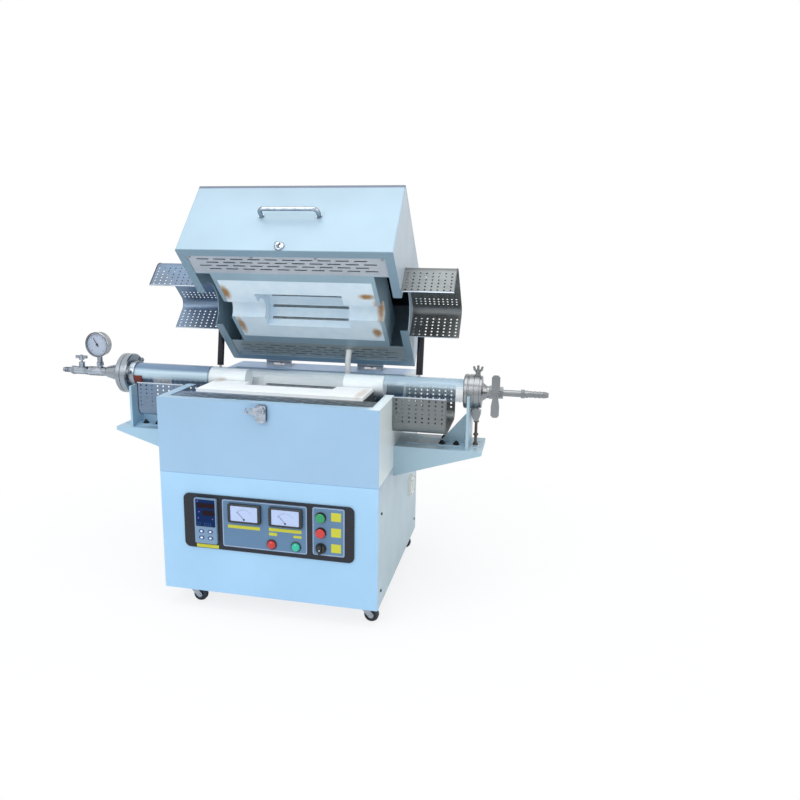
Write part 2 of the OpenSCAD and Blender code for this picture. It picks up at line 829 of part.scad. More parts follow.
module heat_troughs() {
    color([0.66, 0.67, 0.66]) both_sides() shield(rim_z + 1, 1);
}

module lid_shields() {
    color([0.66, 0.67, 0.66]) lid_pose() both_sides() shield(lid_z + 2, -1);
}

// ---------- left flange, gauge and valve ----------

module silicone_seals() {
    color([0.42, 0.16, 0.12]) {
        // half pad under the left end of the tube
        difference() {
            bar_x(-support_x, -support_x + pad_l, tube_r + pad_t, 0, tube_z, 48);
            bar_x(-support_x - cut, -support_x + pad_l + cut, tube_r + running, 0, tube_z, 48);
            span([-support_x - cut, -50, tube_z], [-support_x + pad_l + cut, 50, tube_z + 50]);
        }
        turned_x([[tube_r - tube_wall, -left_stack], [left_seal_r, -left_stack],
            [left_seal_r, -tube_left], [tube_r - tube_wall, -tube_left]]);
        turned_x([[tube_r - tube_wall, tube_right], [small_flange_r - 2, tube_right],
            [small_flange_r - 2, tube_right + seal_t], [tube_r - tube_wall, tube_right + seal_t]]);
    }
}

module left_ring() {
    color([0.70, 0.70, 0.68]) difference() {
        turned_x([[tube_r + running, -tube_left], [left_flange_r, -tube_left],
            [left_flange_r, -ring_face - 3], [left_flange_r - 3, -ring_face], [tube_r + 7, -ring_face],
            [tube_r + 4.5, -ring_face + gland_l], [tube_r + running, -ring_face + gland_l]], 64);
        for (a = flange_bolts)
            bar_x(-left_stack, -ring_face + cut, bolt_r + 0.2, flange_bolt_pcd_r * cos(a),
                tube_z + flange_bolt_pcd_r * sin(a), 24);
    }
}

module left_cap() {
    color([0.70, 0.70, 0.68]) difference() {
        turned_x([[4, neck_end], [tee_r, neck_end], [tee_r, neck_end + 8], [tee_r + 3, neck_end + 14],
            [tee_r + 13, -left_face - 8], [tee_r + 19, -left_face], [left_flange_r - 3, -left_face],
            [left_flange_r, -left_face + 3], [left_flange_r, -left_stack], [tube_r - 6, -left_stack],
            [tube_r - 6, -left_face + 4], [4, -left_face - 4]], 64);
        for (a = flange_bolts)
            bar_x(-left_face - cut, -left_stack + cut, bolt_r + 0.2, flange_bolt_pcd_r * cos(a),
                tube_z + flange_bolt_pcd_r * sin(a), 24);
    }
}

module left_fittings() {
    color([0.68, 0.70, 0.72]) {
        difference() {
            union() {
                bar_x(tee_end, neck_end, tee_r, 0, tube_z, 32);
                bar_z(tube_z, gauge_z - gauge_r + 1, 7, gauge_x, 0, 24);
                bar_z(tube_z + tee_r + 3, tube_z + tee_r + 13, 10.5, gauge_x, 0, 6);
                // needle valve: hexagon ends, barrel and bonnet
                bar_x(tee_end - 12, tee_end, 12, 0, tube_z, 6);
                bar_x(valve_end + 10, tee_end - 12, 11, 0, tube_z, 32);
                bar_x(valve_end, valve_end + 10, 12, 0, tube_z, 6);
                bar_z(tube_z, knob_z - 6, 8, valve_x, 0, 24);
                bar_z(knob_z - 6, knob_z + 14, 3, valve_x, 0, 16);
                turned_x([[2.5, valve_end], [8, valve_end], [8, valve_end - 6], [6, valve_end - 6],
                    [6, valve_end - 8], [7.6, valve_end - 8], [6, valve_end - 14], [7.6, valve_end - 14],
                    [6, valve_end - 20], [7.6, valve_end - 20], [5.5, valve_end - left_barb_l],
                    [2.5, valve_end - left_barb_l]], 32);
            }
            bar_x(valve_end - left_barb_l - cut, neck_end + cut, 2.5, 0, tube_z, 24);
        }
    }
}

module valve_knob() {
    color([0.82, 0.83, 0.84]) difference() {
        union() {
            bar_z(knob_z, knob_z + 12, 7, valve_x, 0, 32);
            span([valve_x - 14, -3, knob_z + 4], [valve_x + 14, 3, knob_z + 12]);
            for (s = [-1, 1]) bar_z(knob_z + 4, knob_z + 12, 4, valve_x + s * 14, 0, 20);
        }
        bar_z(knob_z - cut, knob_z + 12 + cut, 3 + running, valve_x, 0, 24);
    }
}

module gauge_case() {
    color([0.80, 0.81, 0.80]) difference() {
        translate([gauge_x, 0, gauge_z]) rotate([-90, 0, 0]) rotate_extrude($fn = 64)
            polygon([[0, gauge_face + dial_in], [gauge_r - 4, gauge_face + dial_in],
                [gauge_r - 4, gauge_face], [gauge_r - 1, gauge_face], [gauge_r, gauge_face + 1.5],
                [gauge_r, gauge_face + 5], [gauge_r - 2, gauge_face + 7], [gauge_r - 2, gauge_d / 2 - 3],
                [gauge_r - 5, gauge_d / 2], [0, gauge_d / 2]]);
        bar_y(gauge_face, 0, 1.2 + running, gauge_x, gauge_z, 20);
        bar_z(gauge_z - gauge_r - 1, gauge_z - gauge_r + 1, 7.1, gauge_x, 0, 24);
    }
}

module gauge_pointer() {
    color([0.10, 0.10, 0.12]) translate([gauge_x, 0, gauge_z]) rotate([0, -gauge_angle, 0]) {
        bar_y(gauge_face + 2, -2, 1.2, 0, 0, 20);
        bar_y(gauge_face + 2, gauge_face + 3.5, 3, 0, 0, 20);
        translate([0, gauge_face + 3.2, 0]) rotate([90, 0, 0]) linear_extrude(0.8)
            polygon([[-0.9, -7], [0.9, -7], [0.4, gauge_r - 14], [-0.4, gauge_r - 14]]);
    }
}

// ---------- right flange ----------

module right_collar() {
    color([0.70, 0.70, 0.68])
        turned_x([[tube_r + running, collar_x], [collar_r - 2, collar_x], [collar_r, collar_x + 2],
            [collar_r, collar_x + 9], [collar_r - 1.5, collar_x + 10], [collar_r - 1.5, collar_x + 12],
            [collar_r, collar_x + 13], [collar_r, clamp_x - 1], [small_flange_r, clamp_x - 1],
            [small_flange_r, tube_right], [tube_r + running, tube_right]], 64);
}

module clamp_ring() {
    color([0.66, 0.67, 0.68]) difference() {
        union() {
            bar_x(clamp_x, clamp_x + clamp_w, ring_r, 0, tube_z, 64);
            span([clamp_x, -8, tube_z + small_flange_r], [clamp_x + clamp_w, 8, ear_z - 6]);
            bar_z(ear_z - 6, ear_z + 14, 3, clamp_x + clamp_w / 2, 0, 20);
            translate([clamp_x, 11, tube_z]) rotate([90, 0, 0]) linear_extrude(22)
                polygon([[0, -small_flange_r], [clamp_w, -small_flange_r], [clamp_w, -ring_r - 2],
                    [clamp_w + 5, -ring_r - 5], [clamp_w + 4, -ring_r - 16], [clamp_w - 1, -ring_r - 30],
                    [1, -ring_r - 30], [-7, -ring_r - 14], [-7, -ring_r - 4], [0, -ring_r - 2]]);
        }
        bar_z(lug_z - cut, stud_top, bolt_r + running, stud_x, 0, 24);
        bar_x(clamp_x - cut, clamp_x + clamp_w + cut, small_flange_r + seat_gap, 0, tube_z, 64);
    }
}

module wing_nut() {
    x = clamp_x + clamp_w / 2;
    color([0.72, 0.72, 0.72]) difference() {
        union() {
            bar_z(ear_z - 5.7, ear_z + 3, 6, x, 0, 24);
            for (s = [-1, 1]) {
                translate([x, 1.5, ear_z]) rotate([90, 0, 0]) linear_extrude(3)
                    polygon([[s * 4, -5], [s * 12, 3], [s * 12, 9], [s * 8, 9], [s * 4, 3]]);
                bar_y(-1.5, 1.5, 3, x + s * 10, ear_z + 9, 20);
            }
        }
        bar_z(ear_z - 10, ear_z + 20, 3 + running, x, 0, 24);
    }
}

module right_cap() {
    clamp_end = clamp_x + clamp_w + 1;
    color([0.70, 0.70, 0.68]) turned_x([[5, cap_x], [small_flange_r, cap_x], [small_flange_r, clamp_end],
        [small_flange_r + 2, clamp_end], [small_flange_r + 2, cap_end + 2], [27, cap_end + 2],
        [22, cap_end + 5], [15, neck_x - 5], [15, neck_x], [5, neck_x]], 64);
}

module right_outlet() {
    valley = barb_r - 1.8;
    ridge = barb_r - 0.4;
    color([0.64, 0.63, 0.62]) difference() {
        union() {
            bar_x(neck_x, neck_x + 10, 17, 0, tube_z, 6);
            translate([ball_x, 0, tube_z]) sphere(r = 15.5, $fn = 40);
            bar_x(pipe_x - 10, pipe_x, 15, 0, tube_z, 6);
            bar_x(pipe_x, pipe_end, pipe_r, 0, tube_z, 32);
            bar_y(-handle_reach + 2, 0, 7, ball_x, tube_z, 24);
            bar_y(-handle_reach - 6, -handle_reach + 2, 3.5, ball_x, tube_z, 20);
            bar_x(pipe_end, pipe_end + 9, barb_r + 2, 0, tube_z, 6);
            turned_x([[4, pipe_end], [barb_r, pipe_end], [barb_r, pipe_end + 18], [valley, pipe_end + 18],
                [valley, pipe_end + 20], [ridge, pipe_end + 20], [valley, pipe_end + 31],
                [ridge, pipe_end + 31], [valley, pipe_end + 42], [ridge, pipe_end + 42],
                [valley, pipe_end + 53], [ridge, pipe_end + 53], [barb_r - 3, pipe_end + barb_l],
                [4, pipe_end + barb_l]], 32);
        }
        bar_x(neck_x - cut, pipe_end + barb_l + cut, 4, 0, tube_z, 24);
    }
}

module ball_handle() {
    arm_t = 4;
    color([0.60, 0.60, 0.60]) translate([ball_x, -handle_reach + 1, tube_z]) difference() {
        union() {
            bar_y(-arm_t - 1, 0, 8.5, 0, 0, 32);
            rotate([90, 0, 0]) linear_extrude(arm_t) for (s = [-1, 1]) {
                polygon([[-6, 0], [6, 0], [10, s * 24], [10, s * (handle_arm - 5)], [5, s * handle_arm],
                    [-5, s * handle_arm], [-10, s * (handle_arm - 5)], [-10, s * 24]]);
            }
        }
        bar_y(-arm_t - 2, cut, 3.5 + running, 0, 0, 24);
    }
}

// ---------- lid ----------

module lid_shell() {
    rim_in = half_w - rim_w;
    groove_z = lid_top - 8;
    color([0.74, 0.88, 0.96]) lid_pose() difference() {
        outline(lid_z, lid_top, lid_d);
        outline(lid_z + sheet, lid_top - sheet, lid_d, sheet);
        span([-rim_in, body_front + rim_w, lid_z - cut], [rim_in, lid_back - rim_w, lid_z + sheet + cut]);
        // shadow groove under the top
        difference() {
            outline(groove_z, groove_z + 1, lid_d, -1);
            outline(groove_z - cut, groove_z + 1 + cut, lid_d, seam_groove);
        }
        bar_x(-half_w - cut, half_w + cut, notch_r, 0, tube_z, 64);
    }
}

module lid_handle() {
    z = lid_z + pull_z;
    end = pull_l / 2 - pull_reach / 2;
    bend = pull_reach / 2;
    color([0.82, 0.82, 0.82]) lid_pose() {
        bar_x(-end, end, pull_r, body_front - pull_reach, z, 32);
        both_sides() {
            translate([end, body_front - pull_reach + bend, z]) rotate([0, 0, -90])
                rotate_extrude(angle = 90, $fn = 48) translate([bend, 0]) circle(r = pull_r, $fn = 32);
            bar_y(body_front - pull_reach + bend, body_front, pull_r, end + bend, z, 32);
            bar_y(body_front - 3, body_front, pull_r + 1.5, end + bend, z, 32);
        }
    }
}

module hinge_leaves() {
    leaf_reach = 33;
    color([0.60, 0.62, 0.64]) both_sides() {
        span([hinge_x0, hinge_y - 7, rim_z], [hinge_x1, hinge_y + leaf_reach, rim_z + 3]);
        for (x = [hinge_x0, hinge_x1 - knuckle]) {
            span([x, hinge_y - 5, rim_z], [x + knuckle, hinge_y + 5, hinge_z]);
            bar_x(x, x + knuckle, barrel_r, hinge_y, hinge_z, 32);
        }
        bar_x(hinge_x0, hinge_x1, hinge_pin_r, hinge_y, hinge_z, 32);
    }
}

module lid_leaves() {
    x0 = hinge_x0 + knuckle + seat_gap;
    x1 = hinge_x1 - knuckle - seat_gap;
    color([0.60, 0.62, 0.64]) lid_pose() both_sides() difference() {
        union() {
            bar_x(x0, x1, barrel_r, hinge_y, hinge_z, 32);
            span([x0, lid_back, hinge_z], [x1, hinge_y, hinge_z + 5]);
            span([hinge_x0, lid_back, hinge_z], [hinge_x1, lid_back + 3, hinge_z + 45]);
        }
        bar_x(x0 - cut, x1 + cut, hinge_pin_r + running, hinge_y, hinge_z, 32);
    }
}

// A pivot stud standing out from the side, with the flanges that hold an eye on it.
module pivot_stud(y, z, plate) {
    hold = eye_t / 2 + 1;
    span([half_w, y - plate, z - plate], [half_w + 3, y + plate, z + plate]);
    bar_x(half_w, strut_x + hold + 3, stud_r, y, z, 32);
    bar_x(half_w + 3, strut_x - hold, stud_r + 2, y, z, 32);
    bar_x(strut_x + hold, strut_x + hold + 2, stud_r + open_play + 2, y, z, 32);
}

module strut_studs() {
    color([0.55, 0.57, 0.60]) both_sides() pivot_stud(strut_low_y, low_z, 14);
}

module lid_studs() {
    color([0.55, 0.57, 0.60]) lid_pose() both_sides() pivot_stud(strut_top_y, rim_z + strut_top_z, 12);
}

// Moves a strut drawn downwards from the origin to its open place. side is -1 left, 1 right.
module strut_pose(side) {
    translate([side * strut_x, strut_y, strut_z]) rotate([-strut_angle, 0, 0]) children();
}

module strut_cylinder(side) {
    eye_r = stud_r + 4.5;
    color([0.08, 0.08, 0.09]) strut_pose(side) difference() {
        union() {
            bar_x(-eye_t / 2, eye_t / 2, eye_r, 0, 0, 32);
            bar_z(-20, -eye_r + 2, 3.5, 0, 0, 24);
            bar_z(-strut_gland, -20, strut_r, 0, 0, 40);
        }
        bar_x(-eye_t, eye_t, stud_r + running, 0, 0, 32);
        bar_z(-strut_gland - cut, -30, rod_r + running, 0, 0, 32);
    }
}

module strut_rod(side) {
    eye_r = stud_r + open_play + 3;
    color([0.75, 0.76, 0.78]) strut_pose(side) difference() {
        union() {
            bar_x(-eye_t / 2, eye_t / 2, eye_r, 0, -strut_len, 32);
            bar_z(-strut_len + eye_r - 1.5, -strut_len + rod_l, rod_r, 0, 0, 32);
        }
        bar_x(-eye_t, eye_t, stud_r + open_play, 0, -strut_len, 32);
    }
}

module heater_lead() {
    lid_side = 137;
    body_side = 205;
    color([0.85, 0.84, 0.80]) {
        translate([lead_x, hinge_y, hinge_z]) rotate([0, 90, 0]) rotate([0, 0, lid_side + 90])
            rotate_extrude(angle = body_side - lid_side, $fn = 96)
                translate([lead_arc, 0]) circle(r = lead_r, $fn = 24);
        lid_pose() bar_z(lid_z + sheet + vent_t, lid_z + sheet + vent_t + 3, lead_r + 4, lead_x, lead_y, 32);
    }
}

// ---------- latch ----------

module latch_base() {
    color([0.80, 0.81, 0.82]) {
        front_plate(latch_x, latch_z - 7, 26, 42, 6, block_t, body_front);
        bar_y(latch_y, body_front - block_t, 11, latch_x, latch_z, 32);
        bar_y(latch_y - lever_t - 2.5, latch_y, 3, latch_x, latch_z, 24);
        bar_y(latch_y - lever_t - 2.5, latch_y - lever_t - 0.6, 6, latch_x, latch_z, 24);
    }
}

module latch_lever() {
    front = latch_y - 0.3;
    color([0.86, 0.87, 0.88]) difference() {
        translate([latch_x, front, latch_z]) rotate([90, 0, 0]) linear_extrude(lever_t) {
            circle(r = 11, $fn = 40);
            polygon([[0, -8], [0, 8], [-catch_reach - 5, 8], [-catch_reach - 10, 3],
                [-catch_reach - 10, -3], [-catch_reach - 5, -8]]);
        }
        bar_y(front - lever_t - cut, front + cut, 3 + running, latch_x, latch_z, 24);
        bar_y(front - lever_t - cut, front + cut, catch_r + 0.5, latch_x - catch_reach, latch_z, 24);
        span([latch_x - catch_reach - catch_r - 0.5, front - lever_t - cut, latch_z],
            [latch_x - catch_reach + catch_r + 0.5, front + cut, latch_z + 12]);
    }
}

module latch_keeper() {
    keeper_r = 12.5;
    z = lid_z + catch_z;
    color([0.80, 0.81, 0.82]) lid_pose() {
        bar_y(body_front - 5, body_front, keeper_r, latch_x, z + 7, 40);
        bar_y(latch_y - lever_t - 3, body_front, catch_r, latch_x, z, 24);
        bar_y(latch_y - lever_t - 3, latch_y - lever_t - 1, catch_r + 2, latch_x, z, 24);
    }
}

// ---------- buttons and selector ----------

// What a push button or knob has behind its face: a stem through the panel and a clip.
module switch_stem(z, from) {
    bar_y(from, body_front + sheet + 6, switch_hole + plate_gap - running, switch_x, z, 32);
    bar_y(body_front + sheet + 0.3, body_front + sheet + 2.3, switch_hole + 3, switch_x, z, 32);
}

module push_button(z) {
    back = plate_face - ring_h - 0.8;
    bar_y(back - button_h + 1, back, button_r, switch_x, z, 40);
    bar_y(back - button_h, back - button_h + 1, button_r - 1, switch_x, z, 40);
    switch_stem(z, back);
}

module green_button() {
    color([0.25, 0.60, 0.35]) push_button(switch_zs[0]);
}

module red_button() {
    color([0.78, 0.16, 0.16]) push_button(switch_zs[1]);
}

module selector_knob() {
    back = plate_face - ring_h - 0.3;
    color([0.08, 0.08, 0.09]) {
        bar_y(back - 6, back, selector_r, switch_x, switch_zs[2], 40);
        span([switch_x - 3.5, back - 14, switch_zs[2] - selector_r + 0.5],
            [switch_x + 3.5, back - 6, switch_zs[2] + selector_r - 0.5]);
        switch_stem(switch_zs[2], back);
    }
}

// ---------- castors ----------

// One fork at a swivel place, trailing towards +X.
module castor_fork(x, y) {
    crown = base_z - 0.3;
    leg = wheel_w / 2 + 0.5;
    color([0.55, 0.57, 0.60]) translate([x, y, 0]) {
        bar_z(crown - 3, crown, 15, 0, 0, 32);
        bar_z(crown - 3, base_z + 14, stem_r, 0, 0, 32);
        bar_z(base_z + 10.3, base_z + 12.5, stem_r + 3, 0, 0, 32);
        for (side = [-1, 1]) translate([0, side * (leg + 1.25) + 1.25, 0]) rotate([90, 0, 0])
            linear_extrude(2.5) {
                polygon([[-11, crown - 1], [12, crown - 1], [castor_trail + 6.5, wheel_r + 2.5],
                    [castor_trail - 5.5, wheel_r - 4.5]]);
                translate([castor_trail, wheel_r]) circle(r = 7, $fn = 32);
            }
        bar_y(-leg - 4, leg + 4, axle_r, castor_trail, wheel_r, 24);
    }
}

module castor_wheel(x, y) {
    half = wheel_w / 2;
    color([0.20, 0.20, 0.22]) translate([x + castor_trail, y, wheel_r]) rotate([-90, 0, 0])
        rotate_extrude($fn = 64) polygon([[axle_r + running, -half], [8, -half], [8, -half + 2],
            [wheel_r - 6, -half + 2], [wheel_r - 5, -half], [wheel_r - 1.5, -half + 1], [wheel_r, -half + 4],
            [wheel_r, half - 4], [wheel_r - 1.5, half - 1], [wheel_r - 5, half], [wheel_r - 6, half - 2],
            [8, half - 2], [8, half], [axle_r + running, half]]);
}

lower_cabinet();
upper_shell();
rear_panel();
control_bezel();
panel_plates();
controller();
meter_cases();
lamps();
side_socket();
lower_liner();
lower_fibre();
lower_heaters();
trays();
flange_supports();
fixings();
heat_troughs();
quartz_tube();
fibre_plugs();
silicone_seals();
left_ring();
left_cap();
left_fittings();
gauge_case();
right_collar();
clamp_ring();
right_cap();
right_outlet();
hinge_leaves();
strut_studs();
latch_base();
green_button();
red_button();
selector_knob();
gauge_pointer();
valve_knob();
ball_handle();
wing_nut();
latch_lever();
castor_fork(-castor_x, castor_y0);  // fork_front_left
castor_fork(castor_x, castor_y0);  // fork_front_right
castor_fork(-castor_x, castor_y1);  // fork_back_left
castor_fork(castor_x, castor_y1);  // fork_back_right
castor_wheel(-castor_x, castor_y0);  // wheel_front_left
castor_wheel(castor_x, castor_y0);  // wheel_front_right
castor_wheel(-castor_x, castor_y1);  // wheel_back_left
castor_wheel(castor_x, castor_y1);  // wheel_back_right
strut_cylinder(-1);  // strut_cylinder_left
strut_cylinder(1);  // strut_cylinder_right
strut_rod(-1);  // strut_rod_left
strut_rod(1);  // strut_rod_right
lid_shell();
lid_liner();
lid_fibre();
lid_heaters();
lid_shields();
lid_handle();
latch_keeper();
lid_leaves();
lid_studs();
heater_lead();
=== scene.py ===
import json
import math
import bmesh
import bpy
from mathutils import Matrix, Vector


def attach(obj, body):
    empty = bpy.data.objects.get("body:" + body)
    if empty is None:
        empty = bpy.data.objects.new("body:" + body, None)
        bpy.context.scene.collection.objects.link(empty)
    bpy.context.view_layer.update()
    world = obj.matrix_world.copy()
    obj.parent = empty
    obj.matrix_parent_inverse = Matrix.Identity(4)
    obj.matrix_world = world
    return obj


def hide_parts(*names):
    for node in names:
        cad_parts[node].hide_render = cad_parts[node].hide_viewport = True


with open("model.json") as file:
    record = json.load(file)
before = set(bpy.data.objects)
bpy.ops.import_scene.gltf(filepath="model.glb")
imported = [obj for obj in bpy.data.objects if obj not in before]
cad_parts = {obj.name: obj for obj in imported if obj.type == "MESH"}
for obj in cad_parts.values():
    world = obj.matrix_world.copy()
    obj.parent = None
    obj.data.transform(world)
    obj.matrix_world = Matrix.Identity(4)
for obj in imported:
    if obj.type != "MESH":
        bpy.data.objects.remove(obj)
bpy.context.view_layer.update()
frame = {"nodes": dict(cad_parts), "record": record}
nodes = frame["nodes"]
print("frame loaded:", len(nodes), "nodes")

lid = {"hingeY": 0.257, "hingeZ": 0.555, "open": math.radians(43.2)}
tubeZ = 0.546


# ---- finishes ----
class Wire:  # a socket that adds and multiplies like a number
    def __init__(self, finish, socket):
        self.finish = finish
        self.socket = socket

    def maths(self, operation, other, flip=False):
        pair = [other, self] if flip else [self, other]
        return self.finish.node("ShaderNodeMath", {0: pair[0], 1: pair[1]}, operation=operation)

    def __add__(self, other):
        return self.maths("ADD", other)

    def __sub__(self, other):
        return self.maths("SUBTRACT", other)

    def __rsub__(self, other):
        return self.maths("SUBTRACT", other, True)

    def __mul__(self, other):
        return self.maths("MULTIPLY", other)

    def __truediv__(self, other):
        return self.maths("DIVIDE", other)

    def __rtruediv__(self, other):
        return self.maths("DIVIDE", other, True)

    def __pow__(self, other):
        return self.maths("POWER", other)

    def __rpow__(self, other):
        return self.maths("POWER", other, True)

    __radd__ = __add__
    __rmul__ = __mul__

    def above(self, other):
        return self.maths("GREATER_THAN", other)

    def below(self, other):
        return self.maths("LESS_THAN", other)

    def span(self, low, high, to=(0, 1)):  # the value stretched from low..high to the range, and held there
        settings = {"From Min": low, "From Max": high, "To Min": to[0], "To Max": to[1], "Value": self}
        return self.finish.node("ShaderNodeMapRange", settings, clamp=True)


class Finish:
    def __init__(self, name, colour=(0.8, 0.8, 0.8), **fixed):
        self.material = bpy.data.materials.new(name)
        self.material.use_nodes = True
        self.tree = self.material.node_tree
        self.surface = self.tree.nodes["Principled BSDF"]
        self.set("colour", colour)
        for key, value in fixed.items():
            self.set(key, value)

    def set(self, key, value):
        names = {"colour": "Base Color", "roughness": "Roughness", "metallic": "Metallic", "alpha": "Alpha",
                 "coat": "Coat Weight", "coatRoughness": "Coat Roughness", "specular": "Specular IOR Level",
                 "ior": "IOR", "normal": "Normal"}
        self.link(self.surface.inputs[names[key]], value)

    def link(self, socket, value):
        if isinstance(value, Wire):
            self.tree.links.new(value.socket, socket)
        elif isinstance(value, (tuple, list)) and socket.type == "RGBA":
            socket.default_value = tuple(value)[:3] + (1,)
        else:
            socket.default_value = value

    def node(self, kind, values=None, out=0, **settings):
        made = self.tree.nodes.new(kind)
        for key, value in settings.items():
            setattr(made, key, value)
        for key, value in (values or {}).items():
            self.link(made.inputs[key], value)
        return Wire(self, made.outputs[out])

    def place(self, scale=(1, 1, 1), turn=(0, 0, 0), move=(0, 0, 0)):
        at = self.node("ShaderNodeTexCoord", out="Object")
        values = {"Vector": at, "Scale": scale, "Rotation": turn, "Location": move}
        return self.node("ShaderNodeMapping", values)

    def noise(self, scale, detail=3, rough=0.55, stretch=(1, 1, 1)):
        values = {"Vector": self.place(stretch), "Scale": scale, "Detail": detail, "Roughness": rough}
        return self.node("ShaderNodeTexNoise", values, noise_dimensions="3D")

    def axes(self, turn=(0, 0, 0), move=(0, 0, 0)):  # x, y and z of the piece, as three wires
        split = self.tree.nodes.new("ShaderNodeSeparateXYZ")
        self.link(split.inputs[0], self.place(turn=turn, move=move))
        return [Wire(self, split.outputs[k]) for k in range(3)]

    def mix(self, factor, first, second):
        made = self.tree.nodes.new("ShaderNodeMix")
        made.data_type = "RGBA"
        for index, value in ((0, factor), (6, first), (7, second)):
            self.link(made.inputs[index], value)
        return Wire(self, made.outputs[2])

    def bump(self, height, distance, strength):
        values = {"Height": height, "Distance": distance, "Strength": strength}
        self.set("normal", self.node("ShaderNodeBump", values))


def srgb(r, g, b):  # a screen colour from 0 to 255, as the shader's linear values
    return tuple((c / 255 / 12.92) if c < 11 else ((c / 255 + 0.055) / 1.055) ** 2.4 for c in (r, g, b))


def shutAxes(made):  # the coordinates of the lid's pieces as if the lid were shut
    turn = Matrix.Rotation(lid["open"], 3, "X")
    hinge = Vector((0, lid["hingeY"], lid["hingeZ"]))
    return made.axes((lid["open"], 0, 0), tuple(hinge - turn @ hinge))


# each zone is painted light and shade, set into the colour by place
def paintFinish(name, colour, zones, onLid=False):  # zones: ((axis, from, to), ...), colour
    made = Finish(name, roughness=0.38, coat=0.12, coatRoughness=0.3)
    wires = dict(zip("xyz", shutAxes(made) if onLid else made.axes()))
    wires.update(wide=(wires["x"] ** 2) ** 0.5, deep=(wires["y"] ** 2) ** 0.5)
    shown = colour
    for limits, other in zones:
        inside = 1
        for axis, start, end in limits:
            inside = wires[axis].span(start, end) * inside
        shown = made.mix(inside, shown, other)
    cloud = made.noise(3.5, 4).span(0.35, 0.7)
    dark = made.mix(0.6, shown, (0, 0, 0))
    made.set("colour", made.mix(cloud * 0.15, shown, dark))
    made.set("roughness", made.noise(14, 3).span(0.3, 0.7, (0.33, 0.46)))
    made.bump(made.noise(900, 2), 0.00012, 0.5)  # orange peel of powder coat
    return made.material


# the bluer tone to the left is painted light: a painted blue reflection on sheet and machined steel, painted
# shade on the rolled ends
def sheetFinish(name, colour, blue, rough, grain=(1, 12, 12)):  # rolled stainless, bluer to the left
    made = Finish(name, colour, metallic=1.0, roughness=rough)
    lines = made.noise(45, 3, 0.6, grain)
    x = made.axes()[0]
    shown = made.mix(x.span(0.25, -0.25), colour, blue)
    dull = tuple(c * 0.7 for c in colour)
    made.set("colour", made.mix(made.noise(9, 4).span(0.42, 0.72) * 0.5, shown, dull))
    made.set("roughness", lines.span(0.3, 0.7, (rough - 0.07, rough + 0.12)))
    made.bump(lines, 0.00008, 0.5)
    return made.material


# painted light and shade on one metal liner: the paler front plate is painted light, the darker back plate
# painted shade
def linerFinish(name):  # painted lip between a pale front plate and a darker back plate
    made = Finish(name, roughness=0.42, metallic=0.45)
    y = shutAxes(made)[1]
    shown = made.mix(y.above(0.1495), srgb(172, 198, 212), srgb(176, 186, 186))
    shown = made.mix(y.below(-0.1495), shown, srgb(200, 204, 211))
    made.set("colour", made.mix(made.noise(12, 4).span(0.4, 0.75) * 0.3, shown, srgb(160, 174, 184)))
    made.set("roughness", made.noise(45, 3, 0.6, (1, 12, 12)).span(0.3, 0.7, (0.34, 0.5)))
    made.bump(made.noise(60, 3), 0.00008, 0.4)
    return made.material


def steelFinish(name, colour, rough):
    made = Finish(name, colour, metallic=1.0, roughness=rough)
    lines = made.noise(60, 3, 0.6)
    dull = tuple(c * 0.72 for c in colour)
    made.set("colour", made.mix(made.noise(9, 4).span(0.42, 0.72) * 0.6, colour, dull))
    made.set("roughness", lines.span(0.3, 0.7, (rough - 0.07, rough + 0.12)))
    made.bump(lines, 0.00008, 0.5)
    return made.material


def plasticFinish(name, colour, rough, coat=0.0, shine=0.5):
    made = Finish(name, colour, roughness=rough, coat=coat, specular=shine)
    speck = made.noise(500, 2)
    dull = tuple(c * 0.8 for c in colour)
    made.set("colour", made.mix(made.noise(18, 3).span(0.35, 0.75) * 0.35, colour, dull))
    made.set("roughness", speck.span(0.3, 0.7, (rough - 0.04, rough + 0.07)))
    made.bump(speck, 0.00004, 0.4)
    return made.material


def fibreFinish(name, white, shade, stains=(), onLid=False):  # stains: (place, size, strength)
    made = Finish(name, roughness=0.95, specular=0.2)
    fluff = made.noise(220, 5, 0.7)
    shown = made.mix(made.noise(26, 4).span(0.4, 0.75), white, shade)
    ragged = made.noise(60, 4, 0.6).span(0.3, 0.7)
    axes = shutAxes(made) if onLid else made.axes()
    for spot, size, strength in stains:
        away = 0
        for wire, centre, reach in zip(axes, spot, size):
            step = (wire - centre) / reach
            away = step * step + away
        mark = (away + ragged * 0.45).span(1.3, 0.35, (0, strength))
        burnt = made.mix(away.span(0.2, 0.9), srgb(168, 122, 70), srgb(216, 182, 138))
        shown = made.mix(mark, shown, burnt)
    made.set("colour", shown)
    made.bump(fluff, 0.0006, 0.6)
    return made.material


def glassFinish(name):  # clear over the heated length, bands of reflected light on the ends outside
    made = Finish(name, roughness=0.06, ior=1.46)
    x, y, z = made.axes()
    rim = made.node("ShaderNodeLayerWeight", {"Blend": 0.4}, out="Facing")
    outside = (x * x).span(0.0555, 0.0585)
    wave = made.noise(16, 3, 0.5, (0.15, 2, 2)).span(0.3, 0.7) * 0.004
    height = z - tubeZ + wave
    left = x.span(0.05, -0.05)
    upper = height.span(0.015, 0.022) * (0.25 + left * 0.75)
    shown = made.mix(upper, srgb(214, 238, 252), srgb(128, 154, 182))
    shown = made.mix(height.span(-0.002, -0.008), shown, srgb(112, 140, 168))
    shown = made.mix(height.span(-0.021, -0.026), shown, srgb(196, 218, 236))
    made.set("colour", shown)
    band = height - (1 - left) * 0.014  # on the right only the top of the tube shines
    dense = 0.1 + band.span(-0.006, 0.004, (0.0, 0.42)) + left * 0.2
    made.set("alpha", rim.span(0.25, 0.95, (0.05, 0.5)) * (1 - outside) + outside * (dense + rim * 0.2))
    made.set("roughness", made.noise(8, 2).span(0.4, 0.8, (0.03, 0.12)))
    return made.material
